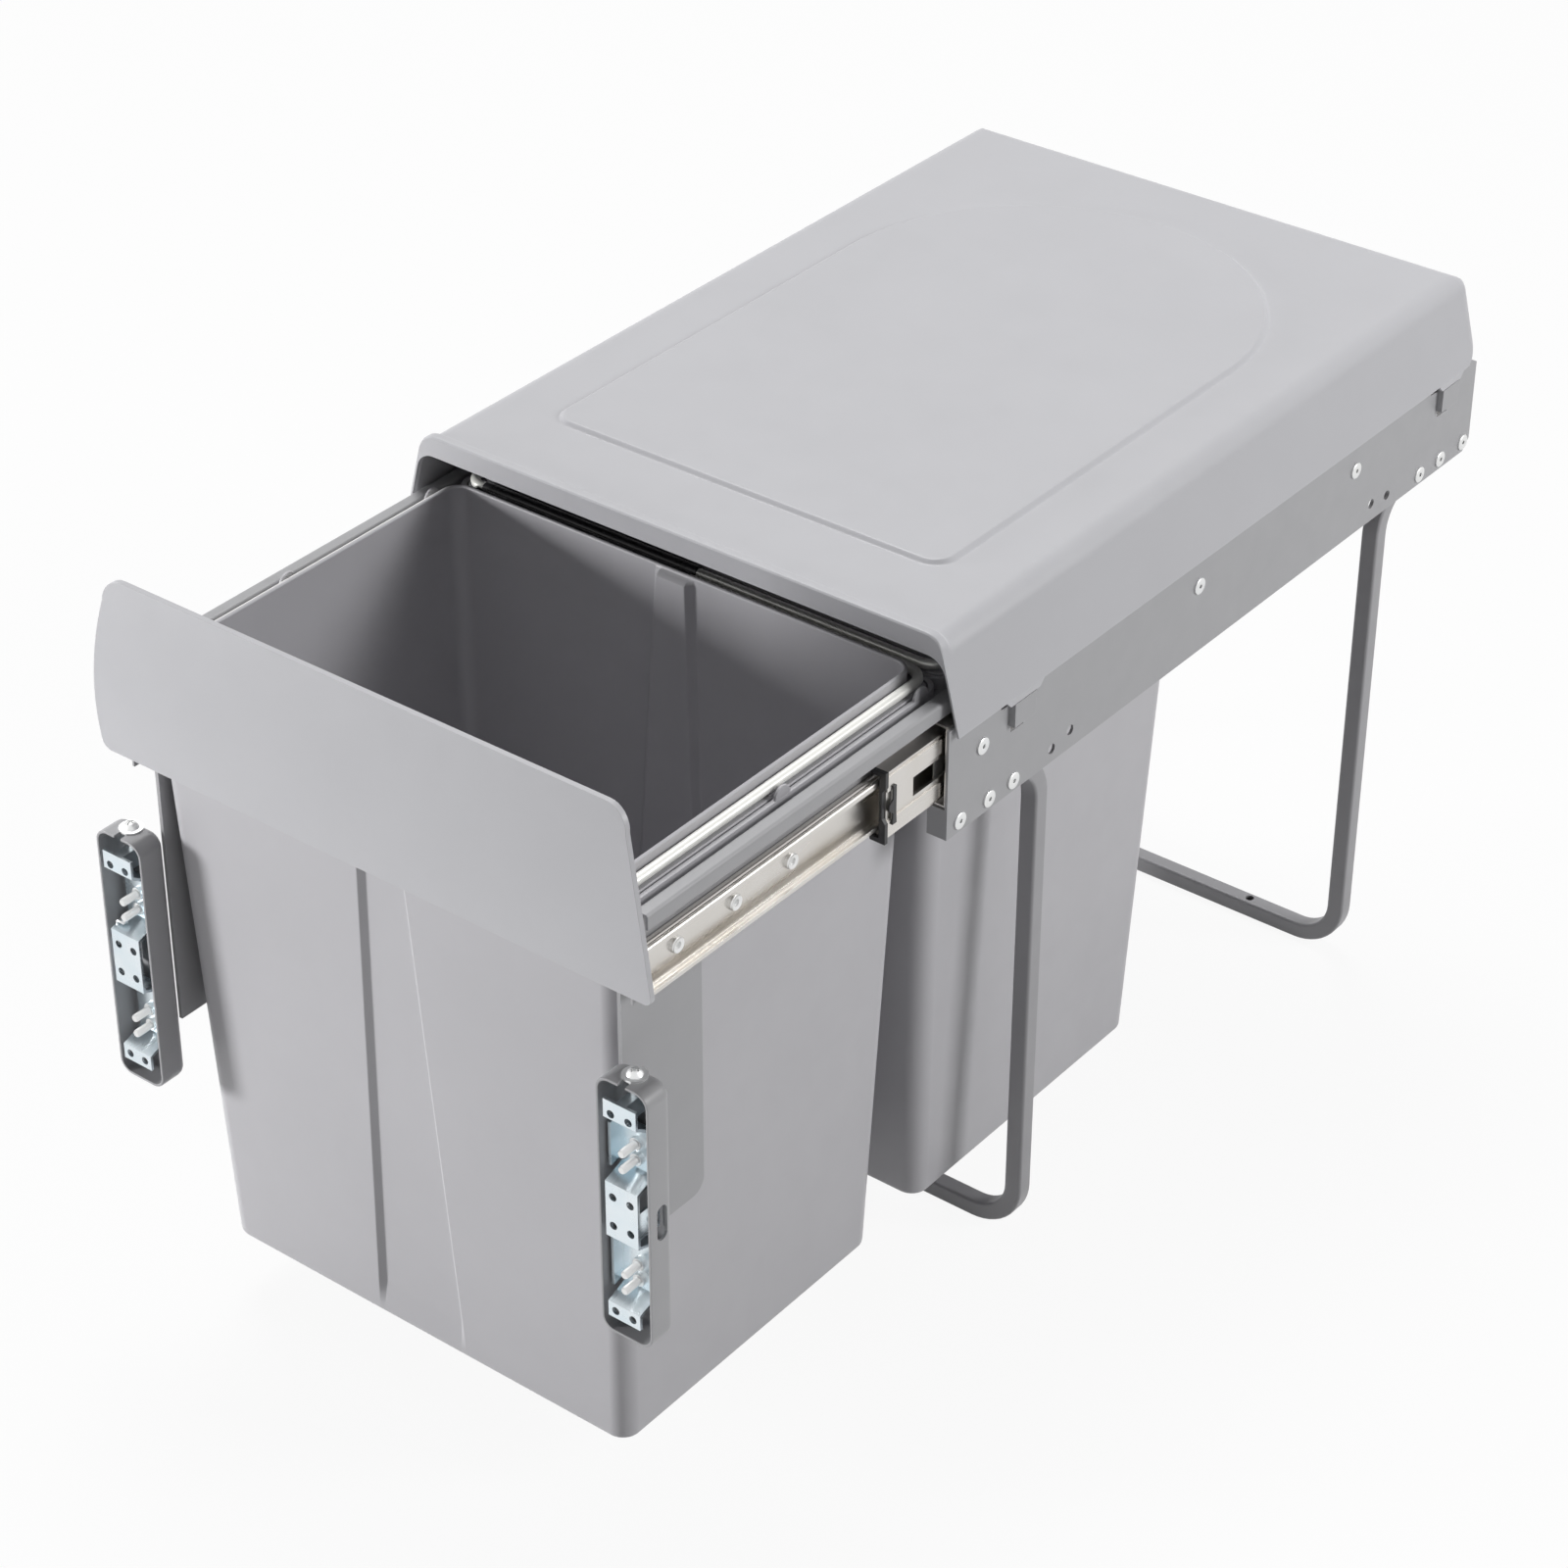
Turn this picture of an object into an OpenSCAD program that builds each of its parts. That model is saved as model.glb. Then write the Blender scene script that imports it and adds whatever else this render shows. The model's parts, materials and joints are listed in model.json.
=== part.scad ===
// Door-mounted pull-out twin waste bin: a fixed frame on two U-shaped legs under a plastic cover,
// two ball-bearing slides, and a carriage with two bins, a front panel and two door brackets.
// Millimetres. X to the right, Y to the rear, Z up from the floor. Drawn pulled out by pulled_out.

/* [Frame] */
// Width over the cover's skirt
frame_w = 342; // [330:1:360]
// Length of the side plates
plate_len = 484; // [480:1:500]
// Height of the slides' centre line above the floor
slide_z = 331; // [325:1:350]
// Thickness of the folded steel sheet
sheet = 1.5; // [1.2:0.1:1.6]
// Height of a side plate
plate_h = 60.5; // [59:0.5:61]
// Side of the square leg tube
tube = 10; // [9:0.5:11]
// Wall of the leg tube
tube_wall = 1.2; // [1:0.1:1.5]
// Bend radius on the tube's centre line
tube_bend = 25; // [20:1:28]
// Front leg's centre behind the front of the side plates
front_leg_y = 82; // [78:1:86]
// Rear leg's centre ahead of the rear of the side plates
rear_leg_inset = 85; // [80:1:90]
// Half the distance between the floor screws of a leg
floor_hole_x = 103; // [80:1:115]
// Floor screw hole diameter
floor_hole_d = 5; // [4:0.5:6]

/* [Cover] */
// Height from the skirt's edge to the top
cover_h = 47; // [46:0.5:50]
// Plastic wall
cover_wall = 2; // [1.6:0.1:2.1]
// Rounding along the top edges
cover_round = 12; // [10:0.5:14]
// Lean of the sides, in degrees
cover_lean = 14.5; // [10:0.5:15]
// Depth of the front lip, front to back
lip_d = 8; // [6:0.5:10]
// Height of the lip above the top
lip_rise = 2.5; // [1.5:0.1:3]
// Half width of the raised field on the top
field_half = 120; // [100:1:125]
// Height of the raised field
field_rise = 1.6; // [0.8:0.1:2]

/* [Slides] */
// Length of the outer and inner members
slide_len = 450; // [445:1:455]
// Height of the outer member
slide_h = 45; // [44:0.5:46]
// Slide sheet thickness
slide_sheet = 1.2; // [1:0.1:1.3]
// Distance that the carriage is pulled out
pulled_out = 205; // [195:1:210]
// Distance that the middle members are pulled out
middle_out = 45; // [40:1:50]
// Ball diameter between the outer and middle members
outer_ball = 2.7; // [2.4:0.1:2.7]
// Ball diameter between the middle and inner members
inner_ball = 2.4; // [2.2:0.1:2.4]

/* [Bins] */
// Length of a bin's rim, front to back
bin_len = 217; // [212:1:217]
// Depth from rim to underside
bin_depth = 341; // [320:1:345]
// How much each side draws in towards the bottom
bin_taper = 12; // [8:0.5:14]
// Plastic wall
bin_wall = 2.2; // [1.8:0.1:2.6]
// Corner radius
bin_corner = 10; // [8:1:14]
// Width of the stiffening groove at the rim
groove_top = 17; // [14:1:22]
// Width of the stiffening groove at the bottom
groove_low = 51; // [44:1:58]
// Depth of the stiffening groove
groove_d = 4; // [3:0.5:5]
// Handle wire diameter
wire = 5.2; // [4.5:0.1:5.4]
// Grip sleeve diameter
grip = 6.8; // [6.4:0.1:6.9]
// Height of the rim above the shoulder
rim_h = 9.5; // [8:0.5:10.5]

/* [Panel] */
// Panel height
panel_h = 98; // [90:1:100]
// Panel width at the top
panel_top_w = 312; // [290:1:316]
// Panel thickness
panel_t = 3; // [2.5:0.1:3]
// Depth of the panel's bulge
panel_bulge = 4; // [2:0.5:4]

/* [Brackets] */
// Tray width
tray_w = 30; // [29:0.5:31]
// Tray depth, front to back
tray_d = 16.3; // [15.5:0.1:17]
// Tray height
tray_h = 145; // [143:1:150]
// Tray corner radius
tray_round = 7.5; // [6:0.5:8.5]
// Depth of the arm behind its tray
arm_d = 56; // [46:1:60]
// Width of a door plate's tabs
tab_w = 18.6; // [16:0.1:19]
// Distance between the two holes across a tab
tab_hole_pitch = 10; // [10:0.5:11]
// Door screw hole diameter
tab_hole_d = 4.2; // [3.5:0.1:4.5]
// Adjusting screw diameter
adjust_d = 4; // [3:0.5:4]

/* [Hidden] */
$fn = 48;

// Amount by which a cut runs past the face that it opens
past = 1;
// Clearance between moving pieces
play = 0.3;

// Colours
light_plastic = [0.72, 0.72, 0.74];
bin_plastic = [0.62, 0.62, 0.65];
grey_paint = [0.45, 0.45, 0.47];
dark_paint = [0.30, 0.30, 0.32];
white_zinc = [0.82, 0.82, 0.82];
yellow_zinc = [0.74, 0.71, 0.62];
blue_zinc = [0.70, 0.77, 0.82];
black_plastic = [0.05, 0.05, 0.05];

// Stations across the width, from the skirt inwards
half_w = frame_w / 2;
skirt_to_plate = 3.5;
plate_out = half_w - skirt_to_plate;
plate_in = plate_out - sheet;
leg_x = plate_in - tube / 2;
slide_t = 12.7;
slide_in = plate_in - slide_t;
rail_web_in = slide_in - sheet;
riser_in = slide_in + 1.2;
rail_out = riser_in + 7.8;
shoulder_x = riser_in - 3;
shoulder_side = 9.9;
bin_half = shoulder_x - shoulder_side;
ledge_in = bin_half + 1.9;

// Heights
plate_low = slide_z - 39.5;
plate_top = plate_low + plate_h;
run_z = plate_low + 6.5;
bar_z = tube / 2;
skirt_z = slide_z + 17;
cover_top = skirt_z + cover_h;
ledge_z = slide_z + 27;
rail_top = ledge_z + 6.5;
rail_low = slide_z - 18;
shoulder_h = 6.5;
shoulder_z = ledge_z + shoulder_h;
rim_z = shoulder_z + rim_h;
bin_low = rim_z - bin_depth;
panel_z = slide_z + 38;
panel_low = panel_z - panel_h / 2;
panel_high = panel_z + panel_h / 2;
tray_top = slide_z - 53;
tray_low = tray_top - tray_h;

// Stations front to back, from the front of the side plates
rail_front = -6 - pulled_out;
inner_front = rail_front + 1;
middle_front = 3 - middle_out;
middle_len = slide_len - 20;
tray_rear = -2 - pulled_out;
tray_front = tray_rear - tray_d;
tab_front = tray_front - 1.7;
panel_front = -14 - pulled_out;
bin_front = rail_front + 3;
bin_gap = 14.8;
rear_bin_front = bin_front + bin_len + bin_gap;
shoulder_end = (bin_gap - 0.4) / 2;
tie_gap = 4;
tie_y = rear_bin_front + bin_len + shoulder_end + tie_gap;
rail_rear = tie_y + 6;
rear_leg_y = plate_len - rear_leg_inset;
origin_y = (tab_front + plate_len) / 2;

// Box between two limits on each axis
module box(x, y, z)
    translate([x[0], y[0], z[0]])
        cube([x[1] - x[0], y[1] - y[0], z[1] - z[0]]);

// Outline in X and Z, run along Y
module along_y(y0, y1)
    translate([0, y1, 0])
        rotate([90, 0, 0])
            linear_extrude(y1 - y0)
                children();

// Outline in Y and Z, run along X
module along_x(x0, x1)
    translate([x0, 0, 0])
        rotate([90, 0, 90])
            linear_extrude(x1 - x0)
                children();

// Rod along X
module rod_x(x0, x1, y, z, d)
    translate([x0, y, z])
        rotate([0, 90, 0])
            cylinder(h = x1 - x0, d = d);

// Rod along Y
module rod_y(y0, y1, x, z, d)
    translate([x, y1, z])
        rotate([90, 0, 0])
            cylinder(h = y1 - y0, d = d);

// Rectangle between two limits on each axis with its corners rounded
module rounded(u, v, r) {
    translate([u[0] + r, v[0]])
        square([u[1] - u[0] - 2 * r, v[1] - v[0]]);
    translate([u[0], v[0] + r])
        square([u[1] - u[0], v[1] - v[0] - 2 * r]);
    for (a = [u[0] + r, u[1] - r])
        for (b = [v[0] + r, v[1] - r])
            translate([a, b])
                circle(r);
}

// Low dome standing on Z = 0
module dome(d, h) {
    ball = (d * d / 4 + h * h) / (2 * h);
    intersection() {
        translate([0, 0, h - ball])
            sphere(ball);
        cylinder(h = h, d = d);
    }
}

// Cross recess of depth sunk into a head whose top is at Z = 0
module cross_recess(span, depth)
    for (turn = [0, 90])
        rotate(turn)
            translate([-span / 2, -span / 10, -depth])
                cube([span, span / 5, depth + past]);

// Cover: section across the width, its skin moved out by grow, down to height low
cover_arc_z = cover_top - cover_round;
cover_arc_x = half_w - (cover_arc_z - skirt_z) * tan(cover_lean) - cover_round / cos(cover_lean);
function lean_x(r, z) = cover_arc_x + (cover_arc_z - z) * tan(cover_lean) + r / cos(cover_lean);

module cover_section(grow, low) {
    r = cover_round + grow;
    touch = [cover_arc_x + r * cos(cover_lean), cover_arc_z + r * sin(cover_lean)];
    for (side = [-1, 1])
        translate([side * cover_arc_x, cover_arc_z])
            circle(r);
    polygon([
        [-lean_x(r, low), low], [lean_x(r, low), low], touch, [cover_arc_x, cover_arc_z + r],
        [-cover_arc_x, cover_arc_z + r], [-touch[0], touch[1]]
    ]);
}

cover_front = 3;
cover_rear = plate_len - 2;
heel_y = 11;
heel_z = 17;
field_front = cover_front + 54;
field_round = 17;
field_arc_y = cover_rear - 54 - field_half;
lug_w = 13;
lug_drop = 10;
skirt_tab = 4;
skirt_tab_half = [12, 9.5];
skirt_tab_slope = 3.5;
skirt_tab_t = 2;
lug_t = 1.5;
lug_y = [cover_front + 54, plate_len - 32.5];
lip_drop = 8.7;

// Outline of the cover's rear end in Y and Z, its skin moved out by grow, with the heel cut off by cut
module rear_section(grow, cut) {
    arc_y = cover_rear - cover_round;
    rear = cover_rear + grow;
    translate([arc_y, cover_arc_z])
        circle(cover_round + grow);
    polygon([
        [cover_front - past, skirt_z - past], [rear - cut * heel_y, skirt_z - past],
        [rear - cut * heel_y, skirt_z], [rear, skirt_z + cut * heel_z], [rear, cover_arc_z],
        [arc_y, cover_arc_z + cover_round + grow], [cover_front - past, cover_arc_z + cover_round + grow]
    ]);
}

// Block under the cover's skin: the section across the width, rounded off at the rear
module cover_block(grow, front, low, cut)
    intersection() {
        along_y(front, cover_rear)
            cover_section(grow, low);
        along_x(-half_w - past, half_w + past)
            rear_section(grow, cut);
    }

module raised_field() {
    translate([0, field_arc_y])
        circle(field_half, $fn = 96);
    translate([-field_half, field_front + field_round])
        square([2 * field_half, field_arc_y - field_front - field_round]);
    translate([field_round - field_half, field_front])
        square([2 * (field_half - field_round), field_arc_y - field_front]);
    for (side = [-1, 1])
        translate([side * (field_half - field_round), field_front + field_round])
            circle(field_round);
}

module cover() color(light_plastic) {
    difference() {
        union() {
            cover_block(0, cover_front, skirt_z, 1);
            along_y(cover_front, cover_front + lip_d)
                cover_section(lip_rise, cover_arc_z);
            translate([0, 0, cover_top - past])
                linear_extrude(past + field_rise)
                    raised_field();
        }
        cover_block(-cover_wall, cover_front - past, skirt_z - past, 0);
    }
    box([-cover_arc_x, cover_arc_x], [cover_front, cover_front + cover_wall],
        [cover_top - lip_drop, cover_top - cover_wall / 2]);
    for (side = [0, 1])
        mirror([side, 0, 0])
            for (i = [0, 1]) {
                y = lug_y[i];
                low_half = skirt_tab_half[i];
                top_half = low_half + skirt_tab_slope;
                box([plate_out + lug_t / 3, plate_out + lug_t * 4 / 3], [y - lug_w / 2, y + lug_w / 2],
                    [skirt_z - lug_drop, skirt_z + cover_wall]);
                along_x(half_w - skirt_tab_t, half_w)
                    polygon([
                        [y - top_half, skirt_z], [y - low_half, skirt_z - skirt_tab],
                        [y + low_half, skirt_z - skirt_tab], [y + top_half, skirt_z]
                    ]);
            }
}

// Side plate with its front flange and the pressed bridges that hold the cover's lugs
rivet_d = 4.8;
head_d = 8.8;
head_h = 1.6;
mandrel_d = 2;
slide_rivet_y = [26.9, 211.6, 360.5];
front_rivet_y = [10, 33.5, 53.3];
rear_rivet_y = [for (inset = [53.5, 31.8, 7.8]) plate_len - inset];
spare_hole_d = 5.5;
spare_holes = [
    [front_leg_y + 19.2, 10.5], [front_leg_y + 3.7, 7.5],
    [rear_leg_y - 18.2, 10.5], [rear_leg_y - 1.9, 8.5]
];
bridge_half = 8.5;
bridge_z = [skirt_z - 17, skirt_z - skirt_tab];
bridge_t = 1.3;
bridge_slot_y = [-7, 3.5];
bridge_slot_z = bridge_z[0] - 4.5;
plate_notch_half = 15.5;
plate_notch_z = skirt_z - 5;
rear_cut_y = 14;
corner_cut = 6;
flange_h = 16.5;

module side_plate() color(grey_paint) {
    difference() {
        along_x(plate_in, plate_out)
            polygon([
                [0, plate_low], [plate_len - corner_cut, plate_low], [plate_len, plate_low + corner_cut],
                [plate_len, skirt_z - skirt_tab], [plate_len - rear_cut_y, plate_top], [0, plate_top]
            ]);
        for (y = slide_rivet_y)
            rod_x(plate_in - past, plate_out + past, y, slide_z, rivet_d);
        for (y = concat(front_rivet_y, rear_rivet_y))
            rod_x(plate_in - past, plate_out + past, y, run_z, rivet_d);
        for (hole = spare_holes)
            rod_x(plate_in - past, plate_out + past, hole[0], plate_low + hole[1], spare_hole_d);
        for (y = lug_y) {
            box([plate_in - past, plate_out + past], [y - bridge_half + sheet, y + bridge_half - sheet],
                [bridge_z[0] + sheet, bridge_z[1]]);
            box([plate_in - past, plate_out + past], [y + bridge_slot_y[0], y + bridge_slot_y[1]],
                [bridge_slot_z, bridge_z[1]]);
            box([plate_in - past, plate_out + past], [y - plate_notch_half, y + plate_notch_half],
                [plate_notch_z, plate_top + past]);
        }
    }
    box([plate_in - tube, plate_out], [0, sheet], [plate_low, plate_low + flange_h]);
    for (y = lug_y)
        difference() {
            box([plate_out - sheet / 2, half_w], [y - bridge_half, y + bridge_half], bridge_z);
            box([plate_in - past, half_w - bridge_t], [y - bridge_half + sheet, y + bridge_half - sheet],
                [bridge_z[0] - past, bridge_z[1] + past]);
        }
}

// U-shaped leg of square tube: a run along each side plate, two uprights and a bar on the floor.
// Drawn for an upright at Y = 0 and a run that goes to the front.
module leg_bar(side_len, run_len, end_cut) {
    upright_low = bar_z + tube_bend;
    upright_high = run_z - tube_bend;
    half = side_len / 2;
    for (side = [0, 1])
        mirror([side, 0, 0]) {
            box([leg_x - half, leg_x + half], [-run_len - end_cut, -tube_bend], [run_z - half, run_z + half]);
            translate([leg_x, -tube_bend, upright_high])
                rotate([90, 0, 90])
                    rotate_extrude(angle = 90)
                        translate([tube_bend - half, -half])
                            square(side_len);
            box([leg_x - half, leg_x + half], [-half, half], [upright_low, upright_high]);
            translate([leg_x - tube_bend, 0, upright_low])
                rotate([90, 0, 0])
                    rotate([0, 0, -90])
                        rotate_extrude(angle = 90)
                            translate([tube_bend - half, -half])
                                square(side_len);
        }
    box([tube_bend - leg_x, leg_x - tube_bend], [-half, half], [bar_z - half, bar_z + half]);
}

module leg(run_len, rivet_rows) color(dark_paint)
    difference() {
        leg_bar(tube, run_len, 0);
        leg_bar(tube - 2 * tube_wall, run_len, past);
        for (x = [-floor_hole_x, floor_hole_x])
            translate([x, 0, -past])
                cylinder(h = tube + 2 * past, d = floor_hole_d);
        for (side = [0, 1])
            mirror([side, 0, 0])
                for (y = rivet_rows)
                    rod_x(plate_in - tube / 2, plate_in + past, y, run_z, rivet_d);
    }

module front_leg()
    translate([0, front_leg_y, 0])
        leg(front_leg_y - sheet, [for (y = front_rivet_y) y - front_leg_y]);

module rear_leg()
    translate([0, rear_leg_y, 0])
        mirror([0, 1, 0])
            leg(rear_leg_inset - past, [for (y = rear_rivet_y) rear_leg_y - y]);

// Rivet with its head outside the side plate
module rivet(y, z, depth) {
    difference() {
        union() {
            rod_x(plate_out - depth, plate_out + head_h / 2, y, z, rivet_d);
            translate([plate_out, y, z])
                rotate([0, 90, 0])
                    dome(head_d, head_h);
        }
        rod_x(plate_out, plate_out + head_h + past, y, z, mandrel_d);
    }
}

module slide_rivets() color(white_zinc)
    for (y = slide_rivet_y)
        rivet(y, slide_z, sheet + slide_sheet);

module leg_rivets() color(white_zinc)
    for (y = concat(front_rivet_y, rear_rivet_y))
        rivet(y, run_z, sheet + tube_wall);

// Slide members: channels about the slide's centre line
outer_half = slide_h / 2;
middle_half = outer_half - slide_sheet - outer_ball - 2 * play;
inner_half = middle_half - slide_sheet - inner_ball - 2 * play;
outer_tip = plate_in - 9.8;
middle_web = plate_in - 3.2;
middle_tip = plate_in - 10.5;
inner_tip = slide_in + 6.7;
outer_front = 1;

// Channel section with its web on the outer side
module channel_out(tip, web, half, t)
    translate([0, slide_z])
        difference() {
            translate([tip, -half])
                square([web - tip, 2 * half]);
            translate([tip - past, t - half])
                square([web - t - tip + past, 2 * (half - t)]);
        }

// Channel section with its web on the inner side
module channel_in(web, tip, half, t)
    translate([0, slide_z])
        difference() {
            translate([web, -half])
                square([tip - web, 2 * half]);
            translate([web + t, t - half])
                square([tip - web - t + past, 2 * (half - t)]);
        }

module slide_outer() color(yellow_zinc)
    difference() {
        along_y(outer_front, outer_front + slide_len)
            channel_out(outer_tip, plate_in, outer_half, slide_sheet);
        for (y = slide_rivet_y)
            rod_x(plate_in - slide_sheet - past, plate_in + past, y, slide_z, rivet_d);
    }

ridge_rise = 0.8;
ridge_len = 40;
ridge_z = 12;
ridge_w = 8;
window_y = [21, 60];
window_half = 5.2;

module slide_middle() color(yellow_zinc) {
    difference() {
        along_y(middle_front, middle_front + middle_len)
            channel_out(middle_tip, middle_web, middle_half, slide_sheet);
        box([middle_web - slide_sheet - past, middle_web + past],
            [middle_front + window_y[0], middle_front + window_y[1]],
            [slide_z - window_half, slide_z + window_half]);
    }
    for (side = [-1, 1]) {
        z = slide_z + side * ridge_z;
        box([middle_web - slide_sheet / 2, middle_web + ridge_rise], [middle_front, middle_front + ridge_len],
            [z - ridge_w / 2, z + ridge_w / 2]);
        rod_x(middle_web - slide_sheet / 2, middle_web + ridge_rise, middle_front + ridge_len, z, ridge_w);
    }
}

// Plastic cap on the front of the middle member, with its release lever
cap_len = 2.4;
cap_in = inner_tip + 0.6;
cap_out = plate_in - slide_sheet - 0.5;
cap_half = outer_half - slide_sheet - 1.8;
lever_t = 1.1;
lever_y = [middle_front - cap_len / 2, middle_front + 6.5];
lever_z = [slide_z - 7.6, slide_z + 7.6];

module slide_cap() color(black_plastic) {
    difference() {
        along_y(middle_front - cap_len, middle_front)
            channel_out(middle_tip, cap_out, cap_half, cap_half - middle_half + slide_sheet);
        box([middle_tip - past, cap_in], [middle_front - cap_len - past, middle_front + past],
            [slide_z - middle_half + slide_sheet, slide_z + middle_half - slide_sheet]);
    }
    box([middle_web, middle_web + lever_t], lever_y, lever_z);
}

// Ball cages: a strip above and a strip below, joined by a thin web
cage_len = 200;
cage_t = 0.6;
ball_pitch = 36;
ball_rows = [for (i = [0 : 5]) 10 + i * ball_pitch];
outer_cage_y = 120 - middle_out / 2;
inner_cage_y = 122.5 - middle_out - (pulled_out - middle_out) / 2;
outer_ball_z = (outer_half - slide_sheet + middle_half) / 2;
inner_ball_z = (middle_half - slide_sheet + inner_half) / 2;
outer_ball_x = (outer_tip + middle_web) / 2;
inner_ball_x = (middle_tip + inner_tip) / 2;

module cage(y, x, ball_x, ball_z, ball_d)
    difference() {
        along_y(y, y + cage_len)
            channel_out(x[0], x[1], ball_z + cage_t / 2, cage_t);
        for (row = ball_rows)
            translate([ball_x, y + row, slide_z - ball_z - cage_t])
                cylinder(h = 2 * (ball_z + cage_t), d = ball_d);
    }

module balls(y, ball_x, ball_z, ball_d)
    for (row = ball_rows)
        for (side = [-1, 1])
            translate([ball_x, y + row, slide_z + side * ball_z])
                sphere(d = ball_d, $fn = 24);

outer_cage_x = [outer_ball_x - 2, plate_in - slide_sheet - 0.7];
inner_cage_x = [inner_ball_x - 1.6, inner_tip + 1.1];

module outer_cage() color(white_zinc)
    cage(outer_cage_y, outer_cage_x, outer_ball_x, outer_ball_z, outer_ball);

module outer_balls() color(white_zinc)
    balls(outer_cage_y, outer_ball_x, outer_ball_z, outer_ball);

module inner_cage() color(white_zinc)
    cage(inner_cage_y, inner_cage_x, inner_ball_x, inner_ball_z, inner_ball);

module inner_balls() color(white_zinc)
    balls(inner_cage_y, inner_ball_x, inner_ball_z, inner_ball);

// Carriage: inner slide members and the folded rails screwed to them
rail_screw_d = 4;
rail_head_d = 8;
rail_head_h = 2.2;
rail_screw_y = concat(
    [for (i = [0 : 2]) inner_front + 26.4 + i * 40.5],
    [for (i = [0 : 2]) inner_front + 270 + i * 75]
);

module rail_screw_holes(x0, x1)
    for (y = rail_screw_y)
        rod_x(x0 - past, x1 + past, y, slide_z, rail_screw_d);

module slide_inner() color(yellow_zinc)
    difference() {
        along_y(inner_front, inner_front + slide_len)
            channel_in(slide_in, inner_tip, inner_half, slide_sheet);
        rail_screw_holes(slide_in, slide_in + slide_sheet);
    }

rail_lip = 8;

module rail() color(grey_paint) {
    difference() {
        box([rail_web_in, slide_in], [rail_front, rail_rear], [rail_low, ledge_z]);
        rail_screw_holes(rail_web_in, slide_in);
    }
    box([ledge_in, riser_in + sheet], [rail_front, rail_rear], [ledge_z - sheet, ledge_z]);
    box([riser_in, riser_in + sheet], [rail_front, rail_rear], [ledge_z - sheet, rail_top]);
    box([riser_in, rail_out], [rail_front, rail_rear], [rail_top - sheet, rail_top]);
    box([rail_out - sheet, rail_out], [rail_front, rail_rear], [rail_top - rail_lip, rail_top]);
}

arm_in = rail_web_in - 2;
screw_tail = 0.8;

module rail_screws() color(white_zinc) {
    x_head = slide_in + slide_sheet;
    for (y = rail_screw_y) {
        rod_x(arm_in - screw_tail, x_head + rail_head_h / 4, y, slide_z, rail_screw_d);
        translate([x_head, y, slide_z])
            rotate([0, 90, 0])
                difference() {
                    dome(rail_head_d, rail_head_h);
                    translate([0, 0, rail_head_h])
                        cross_recess(rail_head_d / 2, rail_head_h / 2);
                }
    }
}

// Strip that ties the rails together behind the rear bin
tie_z = [slide_z - 1, ledge_z - 2];
tie_end = 12;

module rear_tie() color(grey_paint) {
    box([-rail_web_in, rail_web_in], [tie_y, tie_y + sheet], tie_z);
    for (side = [0, 1])
        mirror([side, 0, 0])
            box([rail_web_in - sheet, rail_web_in], [tie_y - tie_end, tie_y + sheet], tie_z);
}

// Door brackets: a tray welded to an arm that steps out to the rail's web
arm_overlap = 110;
arm_round = 8;
arm_t = rail_web_in - arm_in;
arm_step_z = slide_z - 5;
arm_z = [tray_top - arm_overlap, slide_z + 7];
tray_x = half_w - 0.5 - tray_w / 2;
arm_low_in = tray_x - tray_w / 2;
slot_w = 7;
slot_len = 19.5;
slot_flat = 0.01;
slot_z = tray_top - 74.5;
lock_y = tray_rear - 8;
adjust_y = tray_rear - 6.8;

module arm() color(grey_paint) {
    y = [tray_rear, tray_rear + arm_d];
    along_x(arm_low_in, arm_low_in + arm_t) {
        rounded(y, [arm_z[0], arm_step_z], arm_round);
        translate([y[0], arm_z[0]])
            square([arm_round, arm_step_z - arm_z[0]]);
        translate([y[0], arm_step_z - arm_round])
            square([arm_d, arm_round]);
    }
    box([arm_low_in, rail_web_in], y, [arm_step_z - arm_t, arm_step_z]);
    difference() {
        box([arm_in, rail_web_in], y, [arm_step_z - arm_t, arm_z[1]]);
        rail_screw_holes(arm_in, rail_web_in);
    }
}

module tray() color(grey_paint)
    difference() {
        along_y(tray_front, tray_rear)
            rounded([tray_x - tray_w / 2, tray_x + tray_w / 2], [tray_low, tray_top], tray_round);
        along_y(tray_front - past, tray_rear - sheet)
            rounded([tray_x - tray_w / 2 + sheet, tray_x + tray_w / 2 - sheet],
                [tray_low + sheet, tray_top - sheet], tray_round - sheet);
        translate([tray_x, adjust_y, tray_top - sheet - past])
            cylinder(h = sheet + 2 * past, d = adjust_d + 2 * play);
        box([tray_x - adjust_d / 2 - play, tray_x + adjust_d / 2 + play], [tray_front - past, adjust_y],
            [tray_top - sheet - past, tray_top + past]);
        along_x(tray_x + tray_w / 2 - sheet - past, tray_x + tray_w / 2 + past)
            rounded([lock_y - slot_w / 2, lock_y + slot_w / 2],
                [slot_z - slot_len / 2, slot_z + slot_len / 2], slot_w / 2 - slot_flat);
    }

washer_t = 1;
washer_d = 12;

module adjust_washer() color(white_zinc)
    translate([tray_x, adjust_y, tray_top])
        difference() {
            cylinder(h = washer_t, d = washer_d);
            translate([0, 0, -past])
                cylinder(h = washer_t + 2 * past, d = adjust_d + 2 * play);
        }

// Adjusting screw: head on the washer, a collar under the tray's top wall, thread in the door plate's block
adjust_end = tray_top - 18;
collar_t = 1.2;
collar_d = adjust_d + 3;
collar_top = tray_top - sheet - play;
adjust_head_d = 8;
adjust_head_h = 3;

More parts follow.
